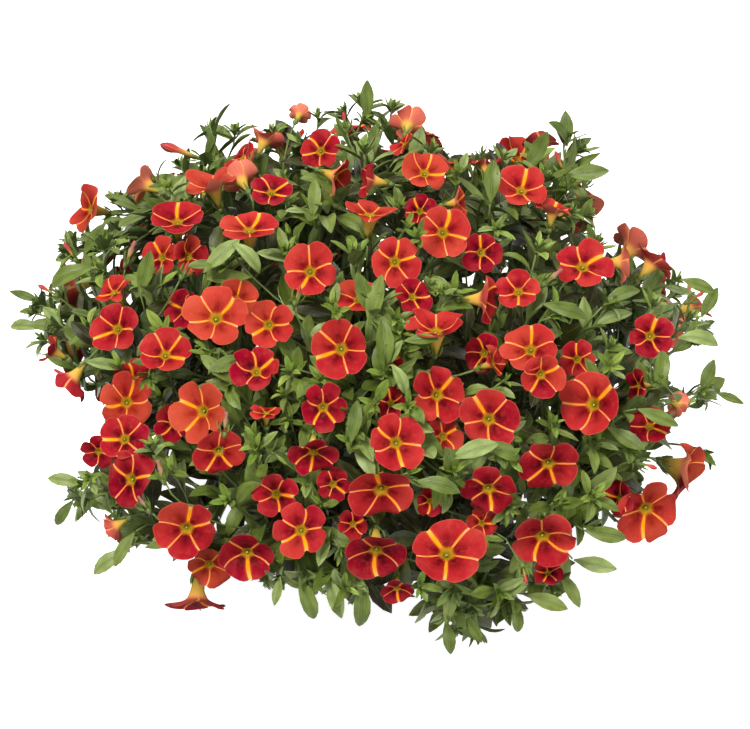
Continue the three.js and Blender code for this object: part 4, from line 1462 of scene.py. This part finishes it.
FIT = 0.6  # between the soil and the pot
RINGED_FROM, RING_SPACING = 8, 9  # the low ridges round the pot


def attach(made, node=None):
    """Lets a piece ride on the root, and hides the node of the part that it stands for, if one is given.
    """
    if node:
        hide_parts(node)
    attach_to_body(made, "root")


def object_from(name, points, faces, material, smooth=True):
    mesh = bpy.data.meshes.new(name)
    mesh.from_pydata([tuple(p * MM) for p in points], [], faces)
    mesh.materials.append(material)
    mesh.polygons.foreach_set("use_smooth", np.full(len(mesh.polygons), smooth))
    return linked(bpy.data.objects.new(name, mesh))


def pot_profile():
    """Up the outside with its ridges, over the rim and down the inside."""
    foot, neck, rim = POT_FOOT_RADIUS, POT_NECK_RADIUS, POT_RIM_RADIUS
    shoulder = POT_HEIGHT - POT_RIM_HEIGHT
    profile = [(0, 3), (DRAIN_CIRCLE - 9, 3), (DRAIN_CIRCLE - 7, 1.2), (foot - 6, 1.2)]
    profile += [(foot - 5, 0.3), (foot - 4, 0), (foot - 1.2, 0), (foot, 1.5)]
    slope = (neck - foot) / shoulder
    for height in range(RINGED_FROM, shoulder - RINGED_FROM, RING_SPACING):
        radius = foot + height * slope
        profile += [(radius, height), (radius + 0.35, height + 0.8), (radius + slope * 2, height + 2)]
    profile += [(neck, shoulder), (rim - 0.5, shoulder), (rim, shoulder + 0.6)]
    profile += [(rim + 0.5, shoulder + 9), (rim + 1, shoulder + 10), (rim + 1, shoulder + 12.8)]
    profile += [(rim, POT_HEIGHT)]
    profile += [(rim - 1.4, POT_HEIGHT), (rim - 2, POT_HEIGHT - 0.7), (rim - 2, shoulder + 3)]
    profile += [(neck - POT_WALL, shoulder), (foot - POT_WALL, POT_FLOOR + 1.5), (0, POT_FLOOR + 1.5)]
    return profile


def make_pot(material):
    pot = object_from("nursery_pot", *lathe(pot_profile(), 96), material)
    cutters = []
    for i in range(DRAIN_HOLES):
        a = 2 * math.pi * (i + 0.5) / DRAIN_HOLES
        # Its sides are an odd number, so that its corners miss the pot's edges
        hole, sides = lathe([(0, -3), (DRAIN_RADIUS, -3), (DRAIN_RADIUS, 8), (0, 8)], 21)
        hole += [DRAIN_CIRCLE * math.cos(a), DRAIN_CIRCLE * math.sin(a), 0]
        cutters.append(object_from(f"cutter_{i}", hole, sides, material))
        cut = pot.modifiers.new(f"hole_{i}", "BOOLEAN")
        cut.object, cut.operation, cut.solver = cutters[-1], "DIFFERENCE", "EXACT"
    bpy.context.view_layer.update()
    cut = bpy.data.meshes.new_from_object(pot.evaluated_get(bpy.context.evaluated_depsgraph_get()))
    pot.modifiers.clear()
    pot.data = cut
    for cutter in cutters:
        bpy.data.objects.remove(cutter)
    cut.set_sharp_from_angle(angle=radians(35))
    return pot


def make_soil(material):
    """A root ball whose top is domed and a little uneven."""
    rings, sides = 26, 90
    top, foot = POT_NECK_RADIUS - POT_WALL - FIT, POT_FOOT_RADIUS - POT_WALL - FIT
    bottom = POT_FLOOR + 1.8
    points = [(0, 0, SOIL_TOP + SOIL_DOME)]
    for share in [i / rings for i in range(1, rings + 1)] + [None]:
        for j in range(sides):
            a = 2 * math.pi * j / sides
            radius = foot if share is None else top * share
            x, y, z = radius * math.cos(a), radius * math.sin(a), bottom
            if share is not None:
                z = SOIL_TOP + SOIL_DOME * (1 - share**2)
                z += 1.1 * noise.noise(Vector((x, y, 0)) * 0.35)
                z += 0.7 * noise.noise(Vector((x, y, 9)) * 1.1)
            points.append((x, y, z))
    points.append((0, 0, bottom))
    faces = []
    for j in range(1, sides + 1):
        k = j % sides + 1
        last = rings * sides
        faces += [[0, j, k], [len(points) - 1, last + k, last + j]]
        for ring in range(0, last, sides):
            faces.append([ring + j, ring + sides + j, ring + sides + k, ring + k])
    return object_from("potting_soil", np.array(points), faces, material)


def make_crumbs(dice, name, count, sizes, material):
    """Loose crumbs, half sunk in the soil."""
    points, faces = [], []
    for _ in range(count):
        r = (POT_NECK_RADIUS - 6) * math.sqrt(dice.uniform(0.06, 1))
        a, size = dice.uniform(0, 2 * math.pi), dice.uniform(*sizes)
        ball, sides = lathe([(0, -0.7), (0.75, -0.45), (1, 0.1), (0.6, 0.62), (0, 0.75)], 6)
        ball = ball * dice.uniform(0.7, 1.3, 3) * size + dice.normal(0, 0.1 * size, ball.shape)
        z = SOIL_TOP + SOIL_DOME * (1 - (r / (POT_NECK_RADIUS - 3)) ** 2)
        faces += [[i + len(points) for i in face] for face in sides]
        points += list(ball + [r * math.cos(a), r * math.sin(a), z])
    return object_from(name, np.array(points), faces, material, smooth=False)


def make_crown(material):
    """The woody foot that the shoots grow from, knobbly where old stems were."""
    profile = [(0, 77), (2.4, 77), (4.5, 84), (6, 92), (9.5, 95), (12.2, 98)]
    profile += [(12.6, 101), (10.5, 106), (6, 110), (0, 111.6)]
    fine = []
    for (r0, z0), (r1, z1) in zip(profile, profile[1:]):
        fine += [(r0 + (r1 - r0) * s, z0 + (z1 - z0) * s) for s in (0, 0.33, 0.67)]
    points, faces = lathe(fine + profile[-1:], 40)
    for i, p in enumerate(points):
        knob = 0.9 * noise.noise(Vector(p) * 0.22) + 0.35 * noise.noise(Vector(p) * 0.8)
        out = p * [1, 1, 0]
        if np.linalg.norm(out) > 0.5:
            points[i] = p + unit(out) * knob
    return object_from("woody_crown", points, faces, material)


def make_pot_and_soil():
    plastic = plain_material("pot_plastic", (20, 21, 21), 0.5, (28, 29, 29), 40)
    peat = plain_material("peat", (44, 32, 24), 0.95, (74, 56, 42), 400, 0.001)
    perlite = plain_material("perlite", (214, 210, 200), 0.9, (236, 234, 228), 500)
    bark = plain_material("bark", (92, 78, 54), 0.9, (130, 112, 82), 220, 0.001)
    attach(make_pot(plastic), "pot")
    attach(make_soil(peat), "soil")
    attach(make_crown(bark), "root_crown")
    dice = np.random.default_rng(SEED + 1)
    attach(make_crumbs(dice, "peat_crumbs", 260, (0.9, 2.6), peat))
    attach(make_crumbs(dice, "perlite", 60, (0.8, 1.8), perlite))


# ---- The plant ----


def make_plant():
    dice = np.random.default_rng(SEED)
    stigma = plain_material("stigma", (168, 156, 58), 0.6, (206, 194, 118), 900)
    petals = [petal_material(), petal_back_material(), stigma]
    greens = [leaf_material(), stem_material(), bud_material()]
    front = [front_flower(*row) for row in FRONT_FLOWERS]
    back = back_flowers(BACK_FLOWERS, BACK_SPACING, BACK_FACES_EYE, [], dice, False)
    more = [front_flower(*row) for row in MORE_FLOWERS]
    others = front + back + more
    more += back_flowers(MORE_BACK_FLOWERS, MORE_BACK_SPACING, MORE_FACES_EYE, others, dice, True)

    for index, flower in enumerate(front + back):
        pile = Pile()
        add_flower(pile, flower, dice, index * GOLDEN_ANGLE)
        made = pile.build(f"bloom_{index + 1:02d}", petals, petals=True)
        attach(made, f"flower_{index + 1:02d}")

    foliage = Foliage(dice, front + back + more)
    foliage.grow(front + more)
    for index, pile in enumerate(foliage.piles):
        made = pile.build(f"leafy_shoot_{index + 1:02d}", greens)
        attach(made, f"shoot_{index + 1:02d}")

    # The flowers that the part leaves out are one piece for each shoot that they grow on.
    groups = [[] for _ in foliage.piles]
    for flower in more:
        shoot, _ = next(foliage.parents(flower.foot, flower.facing))
        groups[shoot].append(flower)
    for index, group in enumerate(groups):
        pile, side = Pile(), math.ceil(math.sqrt(len(group)))
        for n, flower in enumerate(group):
            patch = (n % side / side, n // side / side, 1 / side)
            add_flower(pile, flower, dice, dice.uniform(0, 360), patch)
        if group:
            attach(pile.build(f"more_blooms_{index + 1:02d}", petals, petals=True))


# ---- The stage ----

SKY_LIGHT = (0.24, 0.5)  # of the sky below and above the plant
FLOOR_GLOW = 0.85
FLOOR_RADIUS = 6000
SENSOR_WIDTH = 36


def aimed(name, data, place, way):
    """A lamp or camera in metres that looks that way."""
    made = linked(bpy.data.objects.new(name, data))
    made.location = place
    made.rotation_euler = Vector(way).to_track_quat("-Z", "Y").to_euler()
    return made


def make_sky():
    """Seen as white as the floor, but lights the plant less than that."""
    n = Nodes(bpy.data.worlds.new("studio"), "Background", Color=(1, 1, 1, 1))
    height = n.split(n.node("ShaderNodeTexCoord"), 2)
    light = n.smooth(height, -0.4, 0.6, *SKY_LIGHT, kind="LINEAR")
    seen = n.node("ShaderNodeLightPath")
    n.link(n.math("MAXIMUM", light, seen), "Strength")
    bpy.context.scene.world = n.owner


def make_floor():
    white = plain_material("white_floor", (232, 232, 232), 0.9, (234, 234, 234), 3, 0.0)
    glow = white.node_tree.nodes["Principled BSDF"].inputs
    glow["Emission Color"].default_value = (1, 1, 1, 1)
    glow["Emission Strength"].default_value = FLOOR_GLOW
    profile = [(0, -8), (FLOOR_RADIUS, -8), (FLOOR_RADIUS, 0), (0, 0)]
    ground = object_from("floor", *lathe(profile, 64), white)
    ground.visible_diffuse = False  # its glow is for the eye, not for the undersides


def make_lamp(name, place, size, power, colour):
    light = bpy.data.lights.new(name, "AREA")
    light.shape, light.size, light.energy, light.color = "DISK", size, power, colour
    aimed(name, light, place, Vector(MOUND_CENTRE * MM) - Vector(place))


def make_stage():
    make_sky()
    make_floor()
    make_lamp("key", (-0.7, -1.0, 2.1), 0.8, 56, (1.0, 0.97, 0.9))
    make_lamp("fill", (0.9, -1.5, 0.75), 1.2, 13, (1.0, 0.98, 0.96))
    make_lamp("back", (0.3, 1.1, 1.7), 0.8, 16, (1.0, 0.99, 0.95))
    camera = bpy.data.cameras.new("camera")
    camera.sensor_width = SENSOR_WIDTH
    camera.lens = SENSOR_WIDTH * EYE_DISTANCE / (GRID_WIDTH * GRID_STEP)
    scene = bpy.context.scene
    scene.camera = aimed("camera", camera, EYE * MM, -TO_EYE)
    scene.view_settings.view_transform = "Standard"


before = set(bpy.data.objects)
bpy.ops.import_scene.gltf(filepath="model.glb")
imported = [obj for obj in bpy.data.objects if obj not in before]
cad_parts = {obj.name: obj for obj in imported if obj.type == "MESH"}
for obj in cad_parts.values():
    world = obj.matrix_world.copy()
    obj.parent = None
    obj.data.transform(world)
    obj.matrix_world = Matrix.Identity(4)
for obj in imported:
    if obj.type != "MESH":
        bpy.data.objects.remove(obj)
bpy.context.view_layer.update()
make_stage()
make_pot_and_soil()
make_plant()
